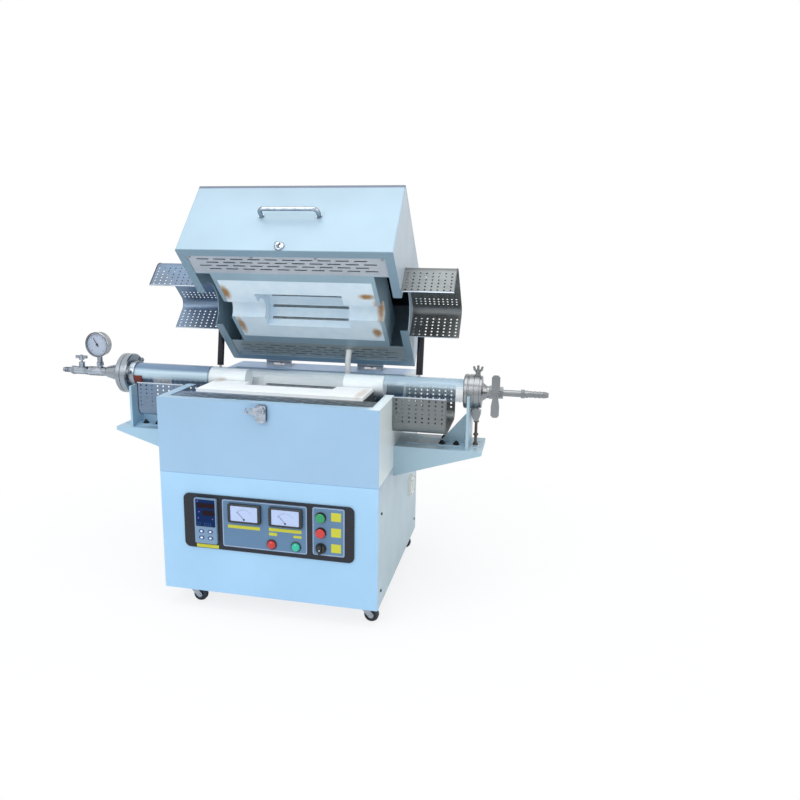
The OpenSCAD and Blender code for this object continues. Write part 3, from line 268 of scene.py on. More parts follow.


# the darkening where the surface turns away is a painted reflection of a dark room
def chromeFinish(name, bright, dark, rough=0.14):  # polished, darker where it turns away as in a room
    made = Finish(name, bright, metallic=1.0, roughness=rough)
    away = made.node("ShaderNodeLayerWeight", {"Blend": 0.5}, out="Facing")
    shown = made.mix(away.span(0.3, 0.75), bright, dark)
    made.set("colour", made.mix(made.noise(70, 3).span(0.4, 0.7) * 0.4, shown, dark))
    made.set("roughness", made.noise(30, 3).span(0.3, 0.7, (rough - 0.04, rough + 0.08)))
    made.bump(made.noise(40, 2), 0.0001, 0.3)
    return made.material


paint = {
    "cabinet": srgb(170, 212, 244), "lid": srgb(172, 198, 214), "support": srgb(174, 207, 228),
}
edge = 0.0002  # how far one shade takes to become the next
# masks for painted light and shade on the paint: the right side, the part above the seam and the top rims
rightSide = ("x", 0.2746, 0.2746 + edge)
aboveSeam = ("z", 0.3545, 0.3545 + edge)
onTop = ("z", 0.5393, 0.5393 + edge)
cabinetLightAndShade = (
    # painted shade: the upper shell's front a little darker than the lower front
    ((aboveSeam,), srgb(160, 194, 224)),
    # painted light and shade: the right side greyer than the front, for how the light falls on it
    ((rightSide,), srgb(186, 204, 213)),
    # painted shadow: the right side darker just below the trays
    ((rightSide, ("z", 0.28, 0.35)), srgb(170, 186, 196)),
    # painted light: the upper part of the right side lighter
    ((rightSide, aboveSeam), srgb(214, 224, 226)),
    # painted shade: the top rims darker
    ((onTop,), srgb(160, 192, 216)),
    # painted reflection: the deck bluer towards the back
    ((onTop, ("y", 0.18, 0.2)), srgb(168, 200, 236)),
    # painted highlight: the top of the right rim near white
    ((onTop, ("x", 0.24, 0.262)), srgb(240, 250, 252)),
)
# mask of the inside of the lid shell, for painted shade
shadeInsideLid = (("z", 0.549, 0.5495), ("z", 0.7628, 0.7624), ("wide", 0.2728, 0.2726), ("deep", 0.2355, 0.2353))
lidLightAndShade = (
    # painted shade: the lid front greyer towards the top
    ((("z", 0.66, 0.757),), srgb(162, 186, 202)),
    # painted light and shade: the lid's right side a warmer grey
    ((rightSide,), srgb(183, 197, 209)),
    # painted shade: the inside of the lid shell near black
    (shadeInsideLid, srgb(44, 54, 60)),
    # painted shade: the strip above the groove, front and back, dark grey-lavender
    ((("z", 0.757, 0.757 + edge), ("deep", 0.2353, 0.2355)), srgb(104, 112, 130)),
    # painted shade: the lid's downward-facing rim darker
    ((("z", 0.5464, 0.5462),), srgb(134, 161, 178)),
)
pureFibre = srgb(253, 254, 254)
lidStains = (
    ((-0.199, -0.07, 0.546), (0.017, 0.034, 0.03), 0.95),
    ((-0.196, 0.07, 0.546), (0.013, 0.042, 0.03), 0.85),
    ((0.184, -0.068, 0.546), (0.026, 0.014, 0.03), 0.95),
    ((0.205, -0.005, 0.56), (0.014, 0.062, 0.05), 0.95),
    ((0.188, 0.086, 0.546), (0.016, 0.024, 0.03), 0.9),
)
bodyStains = (
    ((0.2, -0.1, 0.546), (0.016, 0.07, 0.01), 0.35),
    ((-0.2, -0.03, 0.546), (0.02, 0.03, 0.01), 0.4),
)
# painted shade: the supports greyer and darker towards the right
supportShade = (((("x", -0.1, 0.2),), srgb(166, 192, 206)),)
finishes = {
    "cabinet_paint": paintFinish("cabinet paint", paint["cabinet"], cabinetLightAndShade),
    "lid_paint": paintFinish("lid paint", paint["lid"], lidLightAndShade, True),
    "support_paint": paintFinish("support paint", paint["support"], supportShade),
    "panel_black": plasticFinish("black panel", srgb(20, 22, 34), 0.5),
    "panel_silver": plasticFinish("silver plates", srgb(96, 130, 164), 0.5),
    "controller_case": plasticFinish("controller grey", srgb(126, 154, 182), 0.5, shine=0.3),
    "meter_black": plasticFinish("meter black", srgb(24, 25, 28), 0.25, 0.3),
    "lamp_red": plasticFinish("red lamp", srgb(200, 30, 24), 0.2, 0.6),
    "socket_white": plasticFinish("socket white", srgb(236, 236, 228), 0.4),
    # painted reflection: the sheets bluer to the left
    "stainless": sheetFinish("sheet stainless", srgb(128, 132, 133), srgb(124, 143, 166), 0.4),
    "lid_liner": linerFinish("lid liner"),
    # painted shade: the rolled ends a darker copy of the sheet, darkest to the left
    "end_roll": sheetFinish("rolled ends", srgb(118, 120, 120), srgb(60, 68, 84), 0.4),
    # painted highlight: the folded hems a near-white copy of the sheet
    "hem_steel": steelFinish("bright hem", srgb(214, 222, 232), 0.3),
    # painted reflection: machined steel bluer and lighter to the left
    "machined_steel": sheetFinish("machined steel", srgb(146, 149, 151), srgb(158, 166, 174), 0.25,
                                  (25, 1, 1)),
    "stud_brown": steelFinish("brown stud", srgb(120, 108, 98), 0.5),
    "gauge_dial": plasticFinish("gauge dial", srgb(178, 188, 206), 0.35, 0.4),
    "fibre": fibreFinish("ceramic fibre", pureFibre, srgb(244, 249, 250), bodyStains),
    # painted shade: the lid's fibre a bluer, darker copy of the body's fibre
    "lid_fibre": fibreFinish("lid fibre", srgb(232, 246, 255), srgb(220, 239, 253), lidStains, True),
    "heater_wire": steelFinish("heater wire", srgb(84, 74, 66), 0.6),
    "fixing_black": steelFinish("black fixings", srgb(52, 54, 58), 0.42),
    "quartz": glassFinish("quartz"),
    "silicone": plasticFinish("red silicone", srgb(120, 44, 34), 0.6),
    "chrome": chromeFinish("bright chrome", srgb(186, 194, 206), srgb(58, 66, 76)),
    "gauge_steel": chromeFinish("gauge steel", srgb(206, 210, 212), srgb(120, 126, 132), 0.25),
    "strut_black": plasticFinish("strut black", srgb(8, 11, 28), 0.22, 0.1, shine=0.35),
    "strut_rod": steelFinish("polished rod", srgb(210, 212, 216), 0.12),
    "castor_steel": steelFinish("plated steel", srgb(176, 180, 186), 0.3),
    "castor_tyre": plasticFinish("castor tyre", srgb(52, 54, 60), 0.55),
    "lead_sleeve": fibreFinish("lead sleeve", srgb(238, 240, 240), srgb(214, 220, 222)),
    "button_green": plasticFinish("green button", srgb(20, 150, 90), 0.25, 0.5),
    "button_red": plasticFinish("red button", srgb(205, 40, 36), 0.25, 0.5),
    "knob_black": plasticFinish("black knob", srgb(22, 22, 24), 0.3, 0.3),
    "pointer_black": plasticFinish("pointer black", srgb(18, 18, 20), 0.5),
    "controller_face": plasticFinish("blue face", srgb(12, 42, 88), 0.6, shine=0.1),
    "display_dark": plasticFinish("dark display", srgb(30, 10, 22), 0.5, shine=0.15),
    "key_blue": plasticFinish("blue key", srgb(40, 78, 140), 0.35),
    "key_white": plasticFinish("white key", srgb(238, 244, 250), 0.35),
    "light_violet": plasticFinish("violet light", srgb(150, 90, 210), 0.3),
    "mark_blue": plasticFinish("blue mark", srgb(120, 160, 215), 0.4),
    "mark_grey": plasticFinish("grey mark", srgb(70, 74, 96), 0.5),
    "plate_line": plasticFinish("plate line", srgb(196, 206, 226), 0.4),
    "label_yellow": plasticFinish("yellow label", srgb(206, 204, 52), 0.45),
    # painted reflection: the white dial tinted blue
    "meter_dial": plasticFinish("meter dial", srgb(188, 204, 240), 0.4, 0.05),
    "lamp_teal": plasticFinish("teal lamp", srgb(24, 190, 160), 0.2, 0.6),
}
slots = {part["node"]: part["material_slot"] for part in frame["record"]["subparts"]}
slots.update(lid_liner="lid_liner", lid_fibre="lid_fibre")  # these two have a finish of their own
for name, piece in nodes.items():
    piece.data.materials.clear()
    piece.data.materials.append(finishes[slots[name]])
print("finishes set")


# ---- drawing tools ----
class Piece:  # a mesh drawn in millimetres, on lid pieces with the lid shut
    def __init__(self, name, finish, body="furnace", slot=None, replaces=()):
        self.name = name
        self.finish = finish
        self.body = body
        self.slot = slot or finish
        self.hides = replaces
        self.shape = bmesh.new()

    def soften(self, faces, bevel, segments):
        edges = {edge for face in faces for edge in face.edges}
        bmesh.ops.bevel(self.shape, geom=list(edges), offset=bevel, segments=segments, affect="EDGES",
                        clamp_overlap=True)

    def box(self, low, high, bevel, segments=2):
        corners = [self.shape.verts.new((x, y, z)) for z in (low[2], high[2]) for y in (low[1], high[1])
                   for x in (low[0], high[0])]
        rings = ((0, 2, 3, 1), (4, 5, 7, 6), (0, 1, 5, 4), (2, 6, 7, 3), (0, 4, 6, 2), (1, 3, 7, 5))
        self.soften([self.shape.faces.new([corners[k] for k in ring]) for ring in rings], bevel, segments)

    def prism(self, outline, low, high, bevel, segments=2):  # an outline in x and z, drawn out along y
        ends = [[self.shape.verts.new((u, y, v)) for u, v in outline] for y in (low, high)]
        caps = [self.shape.faces.new(ends[0]), self.shape.faces.new(ends[1])]
        count = len(outline)
        for k in range(count):
            self.shape.faces.new((ends[0][k], ends[0][(k + 1) % count], ends[1][(k + 1) % count], ends[1][k]))
        if bevel:
            self.soften(caps, bevel, segments)
        return self

    def lathe(self, profile, centre, axis, sides=32, turn=0.0):  # profile: (along, radius), end to end
        rings = []
        for along, radius in profile:
            ring = []
            for k in range(1 if radius <= 0 else sides):
                angle = turn + 2 * math.pi * k / sides
                u, v = radius * math.cos(angle), radius * math.sin(angle)
                offset = {"x": (along, u, v), "y": (u, along, v), "z": (u, v, along)}[axis]
                ring.append(self.shape.verts.new([a + b for a, b in zip(centre, offset)]))
            rings.append(ring)
        for first, second in zip(rings, rings[1:]):
            for k in range(sides):
                ahead = k + 1
                corners = [first[k % len(first)], first[ahead % len(first)], second[ahead % len(second)],
                           second[k % len(second)]]
                corners = list(dict.fromkeys(corners))
                if len(corners) > 2:
                    self.shape.faces.new(corners)
        for ring in (rings[0], rings[-1]):
            if len(ring) > 2:
                self.shape.faces.new(ring)
        return self

    def sweep(self, points, radius, sides):  # a round bar along the points
        path = [Vector(p) for p in points]
        last = len(path) - 1
        ahead = [path[min(k + 1, last)] - path[max(k - 1, 0)] for k in range(last + 1)]
        side = ahead[0].orthogonal().normalized()
        rings = []
        for spot, way in zip(path, ahead):
            way = way.normalized()
            side = (side - way * side.dot(way)).normalized()
            other = way.cross(side)
            rings.append([self.shape.verts.new(spot + (side * math.cos(a) + other * math.sin(a)) * radius)
                          for a in (2 * math.pi * n / sides for n in range(sides))])
        for first, second in zip(rings, rings[1:]):
            for n in range(sides):
                self.shape.faces.new((first[n], first[(n + 1) % sides], second[(n + 1) % sides], second[n]))
        self.shape.faces.new(rings[0])
        self.shape.faces.new(rings[-1])

    def done(self):
        bmesh.ops.recalc_face_normals(self.shape, faces=self.shape.faces)
        self.shape.transform(Matrix.Diagonal((0.001, 0.001, 0.001, 1)))
        mesh = bpy.data.meshes.new(self.name)
        self.shape.to_mesh(mesh)
        self.shape.free()
        place(self.name, mesh, self.finish, self.body, self.hides, 35)


def lidTurn():  # takes what is drawn with the lid shut to the open lid
    hinge = Vector((0, lid["hingeY"], lid["hingeZ"]))
    return Matrix.Translation(hinge) @ Matrix.Rotation(-lid["open"], 4, "X") @ Matrix.Translation(-hinge)


def place(name, mesh, finish, body, hides, smooth):  # smooth: degrees, sharper edges stay sharp
    if body == "lid":
        mesh.transform(lidTurn())
    mesh.shade_smooth()
    mesh.set_sharp_from_angle(angle=math.radians(smooth))
    mesh.materials.clear()
    mesh.materials.append(finishes[finish])
    made = bpy.data.objects.new(name, mesh)
    bpy.context.scene.collection.objects.link(made)
    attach(made, body)
    if hides:
        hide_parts(*hides)


class Pattern:  # a geometry tree that sets one small shape on every point of a mesh
    def __init__(self, name):
        self.tree = bpy.data.node_groups.new(name, "GeometryNodeTree")
        self.tree.interface.new_socket(name="Places", in_out="INPUT", socket_type="NodeSocketGeometry")
        self.tree.interface.new_socket(name="Geometry", in_out="OUTPUT", socket_type="NodeSocketGeometry")
        self.inside = self.tree.nodes.new("NodeGroupInput")
        self.outside = self.tree.nodes.new("NodeGroupOutput")
        self.sizes = {}

    def size(self, name, value):  # a named input of the tree
        kind = "NodeSocketInt" if isinstance(value, int) else "NodeSocketFloat"
        made = self.tree.interface.new_socket(name=name, in_out="INPUT", socket_type=kind)
        self.sizes[made.identifier] = value
        return self.inside.outputs[name]

    def node(self, kind, values=None, out=0, **settings):
        made = self.tree.nodes.new(kind)
        for key, value in settings.items():
            setattr(made, key, value)
        for key, value in (values or {}).items():
            if isinstance(value, bpy.types.NodeSocket):
                self.tree.links.new(value, made.inputs[key])
            else:
                made.inputs[key].default_value = value
        return made.outputs[out]

    def maths(self, operation, first, second):
        return self.node("ShaderNodeMath", {0: first, 1: second}, operation=operation)

    # spots: (x, y, z, turn), in millimetres and radians
    def bake(self, shape, name, spots, finish, body="furnace", hides=(), smooth=35):
        facing = self.node("GeometryNodeInputNamedAttribute", {"Name": "turn"}, data_type="FLOAT_VECTOR")
        turned = self.node("FunctionNodeEulerToRotation", {0: facing})
        values = {"Points": self.inside.outputs["Places"], "Instance": shape, "Rotation": turned}
        on = self.node("GeometryNodeInstanceOnPoints", values)
        real = self.node("GeometryNodeRealizeInstances", {0: on})
        finished = self.node("GeometryNodeSetMaterial", {"Geometry": real, "Material": finishes[finish]})
        self.tree.links.new(finished, self.outside.inputs[0])
        base = bpy.data.meshes.new(name + ".places")
        base.from_pydata([tuple(c / 1000 for c in spot[:3]) for spot in spots], [], [])
        turns = base.attributes.new("turn", "FLOAT_VECTOR", "POINT")
        turns.data.foreach_set("vector", [angle for spot in spots for angle in spot[3]])
        holder = bpy.data.objects.new(name + ".places", base)
        bpy.context.scene.collection.objects.link(holder)
        modifier = holder.modifiers.new("pattern", "NODES")
        modifier.node_group = self.tree
        for identifier, value in self.sizes.items():
            modifier[identifier] = value
        graph = bpy.context.evaluated_depsgraph_get()
        mesh = bpy.data.meshes.new_from_object(holder.evaluated_get(graph))
        mesh.name = name
        bpy.data.objects.remove(holder)
        place(name, mesh, finish, body, hides, smooth)


def roundedOutline(x, z, width, height, radius, steps=5):
    points = []
    for cx, cz, start in ((1, 1, 0), (-1, 1, 90), (-1, -1, 180), (1, -1, 270)):
        for k in range(steps + 1):
            angle = math.radians(start + 90 * k / steps)
            points.append((x + cx * (width / 2 - radius) + radius * math.cos(angle),
                           z + cz * (height / 2 - radius) + radius * math.sin(angle)))
    return points


def ovalOutline(x, z, width, height, steps=20):
    angles = [2 * math.pi * k / steps for k in range(steps)]
    return [(x + width / 2 * math.cos(a), z + height / 2 * math.sin(a)) for a in angles]


def arcOutline(x, z, radius, angles):
    turns = [math.radians(a) for a in angles]
    return [(x + radius * math.cos(t), z + radius * math.sin(t)) for t in turns]


upward = (0, 0, 0)
forward = (math.radians(90), 0, 0)  # turns a pattern's +z to the front, -y
sideways = (0, math.radians(90), 0)
backward = (math.radians(-90), 0, 0)
leftward = (0, math.radians(-90), 0)


def screwHeads(name, spots, finish, radius, body="furnace"):  # pan heads with a recess for the driver
    pattern = Pattern(name)
    head = pattern.size("Head radius", radius / 1000)
    height = pattern.size("Head height", radius * 0.6 / 1000)
    recess = pattern.size("Recess width", 0.5)
    disc = pattern.node("GeometryNodeMeshCylinder", {"Vertices": 16, "Radius": head, "Depth": height})
    rim = pattern.node("GeometryNodeExtrudeMesh", {"Mesh": disc, "Selection": disc.node.outputs["Top"],
                                                   "Offset Scale": pattern.maths("MULTIPLY", height, 0.4)})
    crown = pattern.node("GeometryNodeScaleElements", {"Geometry": rim, "Selection": rim.node.outputs["Top"],
                                                       "Scale": 0.8})
    flat = pattern.node("GeometryNodeExtrudeMesh", {"Mesh": crown, "Selection": rim.node.outputs["Top"],
                                                    "Offset Scale": 0.0})
    hole = pattern.node("GeometryNodeScaleElements", {"Geometry": flat, "Selection": flat.node.outputs["Top"],
                                                      "Scale": recess})
    sunk = pattern.node("GeometryNodeExtrudeMesh", {"Mesh": hole, "Selection": flat.node.outputs["Top"],
                                                    "Offset Scale": pattern.maths("MULTIPLY", height, -0.8)})
    pattern.bake(sunk, name, spots, finish, body, smooth=25)


def studs(name, spots, finish, radius, height, sides):  # short bars with a rounded crown
    pattern = Pattern(name)
    wide = pattern.size("Radius", radius / 1000)
    tall = pattern.size("Height", height / 1000)
    disc = pattern.node("GeometryNodeMeshCylinder", {"Vertices": sides, "Radius": wide, "Depth": tall})
    rim = pattern.node("GeometryNodeExtrudeMesh", {"Mesh": disc, "Selection": disc.node.outputs["Top"],
                                                   "Offset Scale": pattern.maths("MULTIPLY", wide, 0.12)})
    crown = pattern.node("GeometryNodeScaleElements", {"Geometry": rim, "Selection": rim.node.outputs["Top"],
                                                       "Scale": 0.86})
    pattern.bake(crown, name, spots, finish, smooth=25)


# ---- control panel ----
panel = {"front": -241, "plates": -242.5}  # y of the black panel and of the silver plates on it
controller = {
    "x": -152.5, "z": 239.5, "width": 57, "height": 115, "proud": 8, "back": -213,
    "glass": (-152, 260.5, 50, 69), "windows": ((-150, 280, 46, 12.5), (-143, 261.5, 32, 13)),
    "keys": ((-163.5, 213.5), (-140.5, 213.5), (-163.5, 197), (-140.5, 197)),
    "lights": ((-171.5, 290), (-168, 263.5), (-170.5, 247), (-133, 247)),
    "marksX": -172, "marksStep": 5.6, "marksZ": (229.5, 234.5),
}
meter = {"xs": (-52, 52), "z": 267.5, "width": 83, "height": 47, "proud": 9, "window": (69, 38.5),
         "pivotDrop": 14, "scale": 25, "needle": 24, "ticks": 13}
label = {
    "thick": 0.35, "spots": (
        (-96.5, -14.5, 227, 235), (8.5, 90, 229, 237), (8.5, 29, 217.5, 225), (70, 90, 217, 223),
        (163, 187, 268, 289), (163, 187, 229, 251), (163, 187, 190, 211.5)),
    "below": (-152, 172.6, 58, 8.6),  # under the controller
}
lamp = {"xs": (15, 76), "z": 195, "radius": 10.5}
button = {"x": 138, "zs": (275, 237, 198), "radius": 11.5}


def addController():
    c = controller
    back = panel["front"]
    front = back - c["proud"]
    body = Piece("controller.case", "controller_case", replaces=("controller",))
    body.prism(roundedOutline(c["x"], c["z"], c["width"], c["height"], 2.5), front, back + 0.2, 0.9, 3)
    body.prism(roundedOutline(c["x"], c["z"], c["width"] - 8, c["height"] - 8, 2), back, c["back"], 0.4)
    body.done()
    x, z, w, h = c["glass"]
    Piece("controller.face", "controller_face", slot="controller_case").prism(
        roundedOutline(x, z, w, h, 1.5), front - 0.5, front + 0.4, 0.3).done()
    windows = Piece("controller.windows", "display_dark", slot="controller_case")
    for x, z, w, h in c["windows"]:
        windows.prism(roundedOutline(x, z, w, h, 1), front - 0.9, front - 0.3, 0.25)
    windows.done()
    keys = Piece("controller.keys", "key_blue", slot="controller_case")
    faces = Piece("controller.keyTops", "key_white", slot="controller_case")
    for x, z in c["keys"]:
        keys.prism(ovalOutline(x, z, 14.5, 9.6), front - 0.7, front + 0.3, 0.3)
        faces.prism(ovalOutline(x, z, 7, 5), front - 1.5, front - 0.4, 0.5)
    keys.done()
    faces.done()
    spots = [(x, front - 0.5, z, forward) for x, z in c["lights"]]
    studs("controller.lights", spots, "light_violet", 1.5, 0.6, 10)
    grid = [(c["marksX"] + k * c["marksStep"], front - 0.5, z, forward) for k in range(8) for z in c["marksZ"]
            if (k * 3 + int(z)) % 5]  # leaves some out, like a row of signs
    studs("controller.marks", grid, "mark_blue", 0.8, 0.5, 6)


def borderLine(piece, x, z, width, height, radius, y, line=1.1):  # a thin raised line round a plate
    outer = roundedOutline(x, z, width, height, radius)
    inner = roundedOutline(x, z, width - 2 * line, height - 2 * line, radius - line)
    count = len(outer)
    for k in range(count):
        ahead = (k + 1) % count
        piece.prism((outer[k], outer[ahead], inner[ahead], inner[k]), y - 0.25, y + 0.1, 0)


def addPlates():
    top = panel["plates"]
    plates = Piece("panel.plates", "panel_silver", replaces=("panel_plates",))
    lines = Piece("panel.lines", "plate_line", slot="panel_silver")
    for x, z, w, h in ((-3.5, 238, 215, 121), (156.5, 240, 79, 120)):
        plates.prism(roundedOutline(x, z, w, h, 5), top, panel["front"], 0.4)
        borderLine(lines, x, z, w - 3, h - 3, 4.5, top)
    plates.done()
    lines.done()
    collars = Piece("panel.collars", "knob_black", slot="panel_silver")
    for z in button["zs"]:
        collars.lathe(((0.2, 0.2), (0.2, 13.6), (-0.8, 13.6), (-1.7, 12.6), (-1.7, 10.4), (-0.5, 10.2),
                       (-0.5, 0.2)), (button["x"], top, z), "y")
    for x in lamp["xs"]:
        collars.lathe(((0.2, 0.2), (0.2, 13), (-1.2, 13), (-2, 12.2), (-2, 0.2)), (x, top, lamp["z"]), "y")
    collars.done()
    labels = Piece("panel.labels", "label_yellow", slot="panel_silver")
    for x0, x1, z0, z1 in label["spots"]:
        outline = roundedOutline((x0 + x1) / 2, (z0 + z1) / 2, x1 - x0, z1 - z0, 0.8)
        labels.prism(outline, top - label["thick"], top + 0.1, 0.12, 1)
    labels.prism(roundedOutline(*label["below"], 0.8), panel["front"] - 0.4, panel["front"] + 0.1, 0.12, 1)
    labels.done()


def addMeters():
    top = panel["plates"]
    front = top - meter["proud"]
    frames = Piece("meter.frames", "meter_black", replaces=("meter_cases",))
    windows = Piece("meter.dials", "meter_dial", slot="meter_black")
    needles = Piece("meter.needles", "pointer_black", slot="meter_black")
    ticks = []
    for x in meter["xs"]:
        outer = roundedOutline(x, meter["z"], meter["width"], meter["height"], 3)
        w, h = meter["window"]
        inner = roundedOutline(x, meter["z"], w, h, 2)
        frames.prism(outer, top - 2.5, top + 0.1, 0.5)
        count = len(outer)
        slope = roundedOutline(x, meter["z"], meter["width"] - 1.6, meter["height"] - 1.6, 2.5)
        shape = frames.shape
        loops = []
        for outline, y in ((outer, top - 2.4), (outer, front + 1), (slope, front), (inner, front + 0.8),
                           (inner, top - 2.4)):
            loops.append([shape.verts.new((u, y, v)) for u, v in outline])
        for first, second in zip(loops, loops[1:]):
            for k in range(count):
                shape.faces.new((first[k], first[(k + 1) % count], second[(k + 1) % count], second[k]))
        shape.faces.new(loops[-1])
        shape.faces.new(loops[0])
        windows.prism(roundedOutline(x, meter["z"], w - 0.4, h - 0.4, 1.8), front + 1.6, top - 2, 0.3)
        pivotZ = meter["z"] - meter["pivotDrop"]
        reach = meter["scale"]
        for k in range(meter["ticks"]):
            angle = math.radians(138 - 8 * k)
            ticks.append((x + reach * math.cos(angle), front + 1.5, pivotZ + reach * math.sin(angle),
                          (0, math.pi / 2 - angle, 0)))
        angle = math.radians(132)
        tip = (x + meter["needle"] * math.cos(angle), front + 1.1, pivotZ + meter["needle"] * math.sin(angle))
        needles.sweep([(x, front + 1.1, pivotZ), tip], 0.35, 6)
        needles.lathe(((0, 0), (0, 2.4), (-0.7, 2.2), (-0.7, 0)), (x, front + 1.6, pivotZ), "y", 16)
    frames.done()
    windows.done()
    needles.done()
    tickMarks("meter.scale", ticks, "mark_grey", 0.45, 3.2)


def tickMarks(name, spots, finish, width, length):  # short bars set round a scale
    pattern = Pattern(name)
    wide = pattern.size("Width", width / 1000)
    long = pattern.size("Length", length / 1000)
    size = pattern.node("ShaderNodeCombineXYZ", {0: wide, 1: 0.0002, 2: long})
    bar = pattern.node("GeometryNodeMeshCube", {"Size": size})
    pattern.bake(bar, name, spots, finish)


def addSwitches():
    top = panel["plates"]
    middle = button["x"]
    greenZ, redZ, selectorZ = button["zs"]
    r = button["radius"]
    for body, finish, z in (("green_button", "button_green", greenZ), ("red_button", "button_red", redZ)):
        head = Piece(body + ".head", finish, body, replaces=(body,))
        head.lathe(((6, 0), (6, 4.6), (-2.9, 4.6), (-2.9, 9.2), (-5.4, 9.4), (-5.6, r - 0.6), (-6.3, r),
                    (-7.6, r - 0.1), (-8.6, r - 1.1), (-9, r - 3), (-9.1, 0)), (middle, top, z), "y", 40)
        head.done()
    knob = Piece("selector.knob", "knob_black", "selector_knob", replaces=("selector_knob",))
    knob.lathe(((6, 0), (6, 4.6), (-2.4, 4.6), (-2.4, 11.6), (-3, 12), (-7, 11.4), (-8.2, 10.6), (-8.4, 0)),
               (middle, top, selectorZ), "y", 40)
    knob.box((middle - 3.6, top - 15.8, selectorZ - 11), (middle + 3.6, top - 8, selectorZ + 11), 1.4, 3)
    knob.done()
    mark = ((0.4, 0), (0.4, 1.5), (-0.25, 1.5), (-0.4, 1.1), (-0.4, 0))
    Piece("selector.mark", "key_white", "selector_knob", "knob_black").lathe(
        mark, (middle, top - 15.7, selectorZ), "y", 16).done()
    r = lamp["radius"]
    kinds = (("lamp.red", "lamp_red", ("lamps",)), ("lamp.teal", "lamp_teal", ()))
    for x, (name, finish, hides) in zip(lamp["xs"], kinds):
        dome = Piece(name, finish, slot="lamp_red", replaces=hides)
        dome.lathe(((14, 0), (14, 8), (-1.5, 8), (-1.6, r), (-3.6, r), (-6, r - 0.9), (-8, r - 3.4),
                    (-9, r - 6.6), (-9.2, 0)), (x, top, lamp["z"]), "y", 36)
        dome.done()


addController()
addPlates()
addMeters()
addSwitches()
print("control panel made")

# ---- hot zone ----
tubeMiddle = tubeZ * 1000
heater = {"reach": 107, "coil": 2.7, "wire": 0.55, "turns": 62, "ring": 71, "step": 27.5}
plate = {"lidXs": (-246, -82, 82, 246), "lidYs": (-211, 206), "lidZ": 545.4,
         "deckXs": (-248, -84, 84, 248), "deckY": -211, "deckZ": 538.4}
sheet = {"near": 276, "far": 407, "rollX": 406.6, "halfY": 94, "bend": 24, "web": 66, "half": 1.3,
         "lidEdge": 546, "bodyEdge": 541}


def heaterCoils(name, side, body, hides):
    pattern = Pattern(name)
    radius = pattern.size("Coil radius", heater["coil"] / 1000)
    wire = pattern.size("Wire radius", heater["wire"] / 1000)
    turns = pattern.size("Turns", float(heater["turns"]))
    length = pattern.size("Length", heater["reach"] * 2 / 1000)
    values = {"Resolution": 9, "Rotations": turns, "Start Radius": radius, "End Radius": radius,
              "Height": length}
    spiral = pattern.node("GeometryNodeCurveSpiral", values)
    ring = pattern.node("GeometryNodeCurvePrimitiveCircle", {"Resolution": 4, "Radius": wire}, mode="RADIUS")
    values = {"Curve": spiral, "Profile Curve": ring, "Fill Caps": True}
    coil = pattern.node("GeometryNodeCurveToMesh", values)
    spots = []
    for k in range(6):
        angle = math.radians((k - 2.5) * heater["step"])
        y = -side * heater["ring"] * math.sin(angle)
        z = tubeMiddle + side * heater["ring"] * math.cos(angle)
        spots.append((-heater["reach"], y, z, sideways))
    pattern.bake(coil, name, spots, "heater_wire", body, hides, smooth=80)


def addPlateScrews():
    lidSpots = [(x, y, plate["lidZ"], (math.pi, 0, 0)) for x in plate["lidXs"] for y in plate["lidYs"]]
    screwHeads("lid.plateScrews", lidSpots, "castor_steel", 3.6, "lid")
    deckSpots = [(x, plate["deckY"], plate["deckZ"], upward) for x in plate["deckXs"]]
    screwHeads("deck.plateScrews", deckSpots, "castor_steel", 3.2)


def addSheetEdges():  # hems along the perforated sheets and rolled ends across them
    lidHems = Piece("shields.hem", "hem_steel", "lid", "stainless")
    bodyHems = Piece("troughs.hem", "hem_steel", "furnace", "stainless")
    lidRolls = Piece("shields.endRoll", "end_roll", "lid", "stainless")
    bodyRolls = Piece("troughs.endRoll", "end_roll", "furnace", "stainless")
    kinds = ((lidHems, lidRolls, sheet["lidEdge"], 1), (bodyHems, bodyRolls, sheet["bodyEdge"], -1))
    y, thick, bend = sheet["halfY"], sheet["half"], sheet["bend"]
    for side in (-1, 1):
        x0, x1 = sorted((side * sheet["near"], side * sheet["far"]))
        x = side * sheet["rollX"]
        for hems, rolls, rim, way in kinds:
            for middle in (-y, y):
                hems.box((x0, middle - thick, rim - thick), (x1, middle + thick, rim + 1.0), 0.5)
            path = [(x, -y, rim)]
            for angle in (math.radians(a) for a in range(0, 91, 15)):
                height = way * (sheet["web"] + bend * math.sin(angle))
                path.append((x, bend - y - bend * math.cos(angle), rim + height))
            path += [(u, -v, w) for u, v, w in reversed(path)]
            rolls.sweep(path, thick, 6)
    for piece in (lidHems, bodyHems, lidRolls, bodyRolls):
        piece.done()


# ---- lid fittings ----
latch = {"x": -5, "z": 523, "blockZ": 516, "lockZ": 558, "hook": 28}


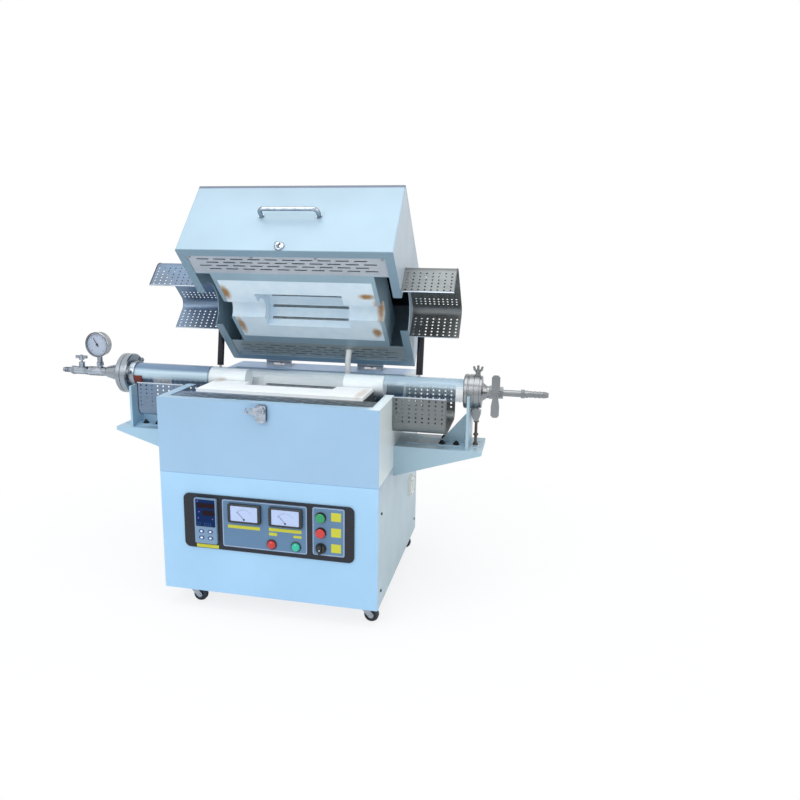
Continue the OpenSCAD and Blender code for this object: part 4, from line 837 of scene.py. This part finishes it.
def addLidFittings():
    x, lockZ = latch["x"], latch["lockZ"]
    lock = Piece("keeper.lock", "chrome", "lid", replaces=("latch_keeper",))
    lock.lathe(((0, 0), (0, 12.5), (-3, 12.5), (-4.4, 11.2), (-5, 9), (-5, 0)), (x, -237, lockZ), "y", 40)
    lock.lathe(((0, 0), (0, 3.4), (-17, 3.4), (-17, 5.4), (-18.4, 5.5), (-19, 4.6), (-19.2, 0)),
               (x, -238, lockZ - 7), "y", 24)
    lock.done()
    # painted shade: a black disc stands for the dark inside the keeper's bore
    Piece("keeper.bore", "knob_black", "lid", "chrome").lathe(
        ((0.5, 0), (0.5, 4.2), (-0.3, 4.2), (-0.5, 3.6), (-0.5, 0)), (x, -242, lockZ + 3.4), "y", 24).done()
    base = Piece("latch.block", "chrome", replaces=("latch_base",))
    base.prism(roundedOutline(x, latch["blockZ"], 26, 42, 6), -249, -237, 1.6, 3)
    base.lathe(((0, 0), (0, 11), (-1.4, 11), (-2, 10.4), (-2, 0)), (x, -249, latch["z"]), "y", 36)
    base.lathe(((0, 0), (0, 3), (-3.6, 3), (-3.6, 5.4), (-5, 6), (-5.4, 4.6), (-5.5, 0)),
               (x, -251, latch["z"]), "y", 24)
    base.done()
    lever = Piece("latch.arm", "chrome", "latch_lever", replaces=("latch_lever",))
    arm = arcOutline(0, 0, 11, range(90, -91, -15))
    arm += [(-12, -9), (-22, -7.4), (-33, -8), (-38, -3), (-38, 3), (-33.6, 8), (-32.3, 7.8), (-32.3, 0)]
    arm += arcOutline(-latch["hook"], 0, 4.3, range(195, 346, 15))
    arm += [(-23.7, 0), (-23.7, 7.6), (-12, 9)]
    lever.prism([(x + u, latch["z"] + v) for u, v in arm], -254.4, -251.3, 0.8, 2)
    lever.done()


# ---- tube, flanges and fittings ----
flange = {"bolts": (45, 165, 285), "ring": 45, "out": -498.5, "in": -466}
foot = {"xs": (426, 390), "ys": (-26, 26)}
levelling = {"x": 471.75, "low": 410.2, "high": 480.8, "nuts": (410, 434, 468)}


def hexBar(piece, low, high, centre, axis="x", turn=0.0):  # a nut or a bolt's head
    radius, rim = 7, 0.84
    profile = ((low, 0), (low, radius - rim), (low + rim, radius),
               (high - rim, radius), (high, radius - rim), (high, 0))
    piece.lathe(profile, centre, axis, 6, turn)


def thread(piece, low, high, radius, x, y, pitch=2.0):  # a threaded bar upright at x, y
    profile = [(low, 0)]
    steps = int((high - low) / pitch)
    for k in range(steps):
        profile += [(low + k * pitch, radius - 0.7), (low + (k + 0.5) * pitch, radius)]
    piece.lathe(profile + [(high, radius - 0.7), (high, 0)], (x, y, 0), "z", 20)


def addFixings():
    black = Piece("bolts.feet", "fixing_black", replaces=("fixings",))
    for side in (-1, 1):
        for x in foot["xs"]:
            for y in foot["ys"]:
                spot = (side * x, y, 0)
                hexBar(black, 414, 419, spot, "z", 0.4)
                black.lathe(((413.4, 0), (413.4, 9), (414.2, 9), (414.4, 8.6), (414.4, 0)), spot, "z", 24)
                black.lathe(((402, 0), (401, 3), (402, 4), (422, 4), (423, 3), (423, 0)), spot, "z", 16)
                hexBar(black, 403, 408, spot, "z", 0.9)
    black.done()
    bright = Piece("bolts.flange", "machined_steel", slot="fixing_black")
    for a in flange["bolts"]:
        y = flange["ring"] * math.cos(math.radians(a))
        z = tubeMiddle + flange["ring"] * math.sin(math.radians(a))
        hexBar(bright, -504, flange["out"], (0, y, z), turn=a)
        bright.lathe(((-505.5, 0), (-504.5, 4), (-504, 4), (-504, 0)), (0, y, z), "x", 16)
        hexBar(bright, flange["in"], -459.5, (0, y, z), turn=a + 0.3)
        bright.lathe(((-466, 0), (-466, 4), (-458.4, 4), (-457.2, 3), (-457.2, 0)), (0, y, z), "x", 16)
    bright.done()
    stud = Piece("bolts.levelling", "stud_brown", slot="fixing_black")
    thread(stud, levelling["low"], levelling["high"], 4, levelling["x"], 0)
    for z in levelling["nuts"]:
        hexBar(stud, z, z + 5, (levelling["x"], 0, 0), "z", z)
    stud.done()


gauge = {"x": -573, "y": -8, "z": 622, "scale": 26.5, "marks": 31, "start": 225, "step": 9}


def addGauge():
    x, y, z = gauge["x"], gauge["y"], gauge["z"]
    Piece("gauge.dial", "gauge_dial", slot="gauge_steel").lathe(
        ((1, 0), (1, 30.6), (-0.6, 30.6), (-0.8, 30.2), (-0.8, 0)), (x, y, z), "y", 48).done()
    ticks = []
    for k in range(gauge["marks"]):
        angle = math.radians(gauge["start"] - gauge["step"] * k)
        ticks.append((x + gauge["scale"] * math.cos(angle), y - 0.8, z + gauge["scale"] * math.sin(angle),
                      (0, math.pi / 2 - angle, 0)))
    tickMarks("gauge.ticks", ticks, "mark_grey", 0.5, 2.6)
    longTicks = [(x + (a - x) * 0.93, b, z + (c - z) * 0.93, turn) for a, b, c, turn in ticks[::5]]
    tickMarks("gauge.longTicks", longTicks, "pointer_black", 0.9, 4.6)
    bezel = ((0.5, 31), (-4.2, 31), (-5, 32), (-5, 33.6), (-4, 34.9), (-1, 35), (0.5, 34.6), (0.5, 31))
    Piece("gauge.bezel", "chrome", slot="gauge_steel").lathe(bezel, (x, y, z), "y", 56).done()


# ---- back, sides and hinges ----
behind = {"y": 304.5, "xs": (-256, -128, 0, 128, 256), "low": 70, "high": 331, "mid": 200,
          "side": 275.6, "sideYs": (-204, 272), "sideZs": (88, 283)}
socket = {"x": 283, "y": 190, "z": 222, "reach": 20}
hinge = {"x": 140, "reach": 28, "leafY": 277, "leafZ": 543, "backY": 240.5, "backZ": 586}


def addOuterScrews():
    spots = [(x, behind["y"], z, backward) for x in behind["xs"] for z in (behind["low"], behind["high"])]
    spots += [(x, behind["y"], behind["mid"], backward) for x in (behind["xs"][0], behind["xs"][-1])]
    screwHeads("back.screws", spots, "castor_steel", 4)
    for name, side, turn in (("sideRight", 1, sideways), ("sideLeft", -1, leftward)):
        heads = [(side * behind["side"], y, z, turn) for y in behind["sideYs"] for z in behind["sideZs"]]
        screwHeads(name + ".screws", heads, "fixing_black", 3.4)
    r = socket["reach"]
    corners = [(socket["x"], socket["y"] + a, socket["z"] + b, sideways) for a in (-r, r) for b in (-r, r)]
    screwHeads("socket.screws", corners, "castor_steel", 2.6)
    leaves = [s * hinge["x"] + d for s in (-1, 1) for d in (-hinge["reach"], 0, hinge["reach"])]
    onDeck = [(x, hinge["leafY"], hinge["leafZ"], upward) for x in leaves]
    screwHeads("hinge.deckScrews", onDeck, "castor_steel", 4)
    onLid = [(x, hinge["backY"], hinge["backZ"], backward) for x in leaves]
    screwHeads("hinge.lidScrews", onLid, "castor_steel", 4, "lid")


heaterCoils("coils.lower", -1, "furnace", ("lower_heaters",))
heaterCoils("coils.lid", 1, "lid", ("lid_heaters",))
addPlateScrews()
addSheetEdges()
addLidFittings()
addFixings()
addGauge()
addOuterScrews()
print("hot zone, lid fittings, bolts and gauge made")


# ---- camera, floor and light ----
view = {"place": (0.613, -1.8136, 0.9234), "yaw": 12.79, "pitch": 11.71, "roll": 0.52,
        "focalPixels": 740.27, "centre": (371.25, 388.9), "picture": 800}


def addCamera():
    yaw, pitch, roll = (math.radians(view[k]) for k in ("yaw", "pitch", "roll"))
    ahead = Vector((-math.sin(yaw) * math.cos(pitch), math.cos(yaw) * math.cos(pitch), -math.sin(pitch)))
    level = Vector((math.cos(yaw), math.sin(yaw), 0))
    upright = level.cross(ahead)
    right = level * math.cos(roll) + upright * math.sin(roll)
    up = right.cross(ahead)
    data = bpy.data.cameras.new("camera")
    data.sensor_width = 36
    data.lens = view["focalPixels"] / view["picture"] * data.sensor_width
    data.shift_x = 0.5 - view["centre"][0] / view["picture"]
    data.shift_y = view["centre"][1] / view["picture"] - 0.5
    camera = bpy.data.objects.new("camera", data)
    camera.matrix_world = Matrix((
        (right.x, up.x, -ahead.x, view["place"][0]),
        (right.y, up.y, -ahead.y, view["place"][1]),
        (right.z, up.z, -ahead.z, view["place"][2]), (0, 0, 0, 1)))
    bpy.context.scene.collection.objects.link(camera)
    bpy.context.scene.camera = camera


def addLamp(name, spot, aim, size, power, colour):
    data = bpy.data.lights.new(name, "AREA")
    data.shape = "RECTANGLE"
    data.size = size[0]
    data.size_y = size[1]
    data.energy = power
    data.color = colour
    made = bpy.data.objects.new(name, data)
    made.location = spot
    made.rotation_euler = (Vector(aim) - Vector(spot)).to_track_quat("-Z", "Y").to_euler()
    bpy.context.scene.collection.objects.link(made)


def whiteSeen(tree, plain, output, white):  # white to the camera, gloss rays and glass
    paths = tree.nodes.new("ShaderNodeLightPath")
    seen = None
    for ray in ("Is Camera Ray", "Is Glossy Ray", "Is Transmission Ray"):
        if seen is None:
            seen = paths.outputs[ray]
            continue
        add = tree.nodes.new("ShaderNodeMath")
        add.operation = "ADD"
        add.use_clamp = True
        tree.links.new(seen, add.inputs[0])
        tree.links.new(paths.outputs[ray], add.inputs[1])
        seen = add.outputs[0]
    mix = tree.nodes.new("ShaderNodeMixShader")
    tree.links.new(seen, mix.inputs[0])
    tree.links.new(plain, mix.inputs[1])
    tree.links.new(white, mix.inputs[2])
    tree.links.new(mix.outputs[0], output)


def addWorld(strength):
    world = bpy.data.worlds.new("studio")
    bpy.context.scene.world = world
    world.use_nodes = True
    tree = world.node_tree
    plain = tree.nodes["Background"]
    plain.inputs["Color"].default_value = (0.93, 0.97, 1.0, 1)
    plain.inputs["Strength"].default_value = strength
    white = tree.nodes.new("ShaderNodeBackground")
    white.inputs["Color"].default_value = (1, 1, 1, 1)
    white.inputs["Strength"].default_value = 1.0
    whiteSeen(tree, plain.outputs[0], tree.nodes["World Output"].inputs["Surface"], white.outputs[0])


def addFloor(size):
    mesh = bpy.data.meshes.new("floor")
    corners = [(-size, -size, 0), (size, -size, 0), (size, size, 0), (-size, size, 0)]
    mesh.from_pydata(corners, [], [(0, 1, 2, 3)])
    floor = bpy.data.objects.new("floor", mesh)
    bpy.context.scene.collection.objects.link(floor)
    made = Finish("floor white", (0.93, 0.94, 0.95), roughness=0.9, specular=0.1)
    made.set("colour", made.mix(made.noise(0.8, 2).span(0.3, 0.8), (0.94, 0.95, 0.96), (0.91, 0.92, 0.93)))
    x, y, z = made.axes()
    far = ((x * x + y * y) ** 0.5).span(0.4, 1.3, (0.8, 1.0))
    seen = made.node("ShaderNodeLightPath", out="Is Camera Ray")
    white = made.tree.nodes.new("ShaderNodeEmission")
    blend = made.tree.nodes.new("ShaderNodeMixShader")
    made.link(blend.inputs[0], seen * far)
    made.tree.links.new(made.surface.outputs[0], blend.inputs[1])
    made.tree.links.new(white.outputs[0], blend.inputs[2])
    made.tree.links.new(blend.outputs[0], made.tree.nodes["Material Output"].inputs["Surface"])
    floor.data.materials.append(made.material)


bpy.context.scene.view_settings.view_transform = "Standard"
addCamera()
addWorld(0.7)
addFloor(14)
addLamp("key", (-0.9, -2.6, 2.2), (0, 0, 0.4), (2.2, 1.6), 26, (0.95, 0.98, 1.0))
addLamp("top", (0, -0.4, 2.9), (0, 0, 0.5), (2.4, 2.0), 26, (0.97, 0.99, 1.0))
addLamp("right", (2.8, -0.8, 1.9), (0, 0, 0.5), (1.8, 1.8), 16, (1.0, 0.94, 0.86))
print("camera and light set")
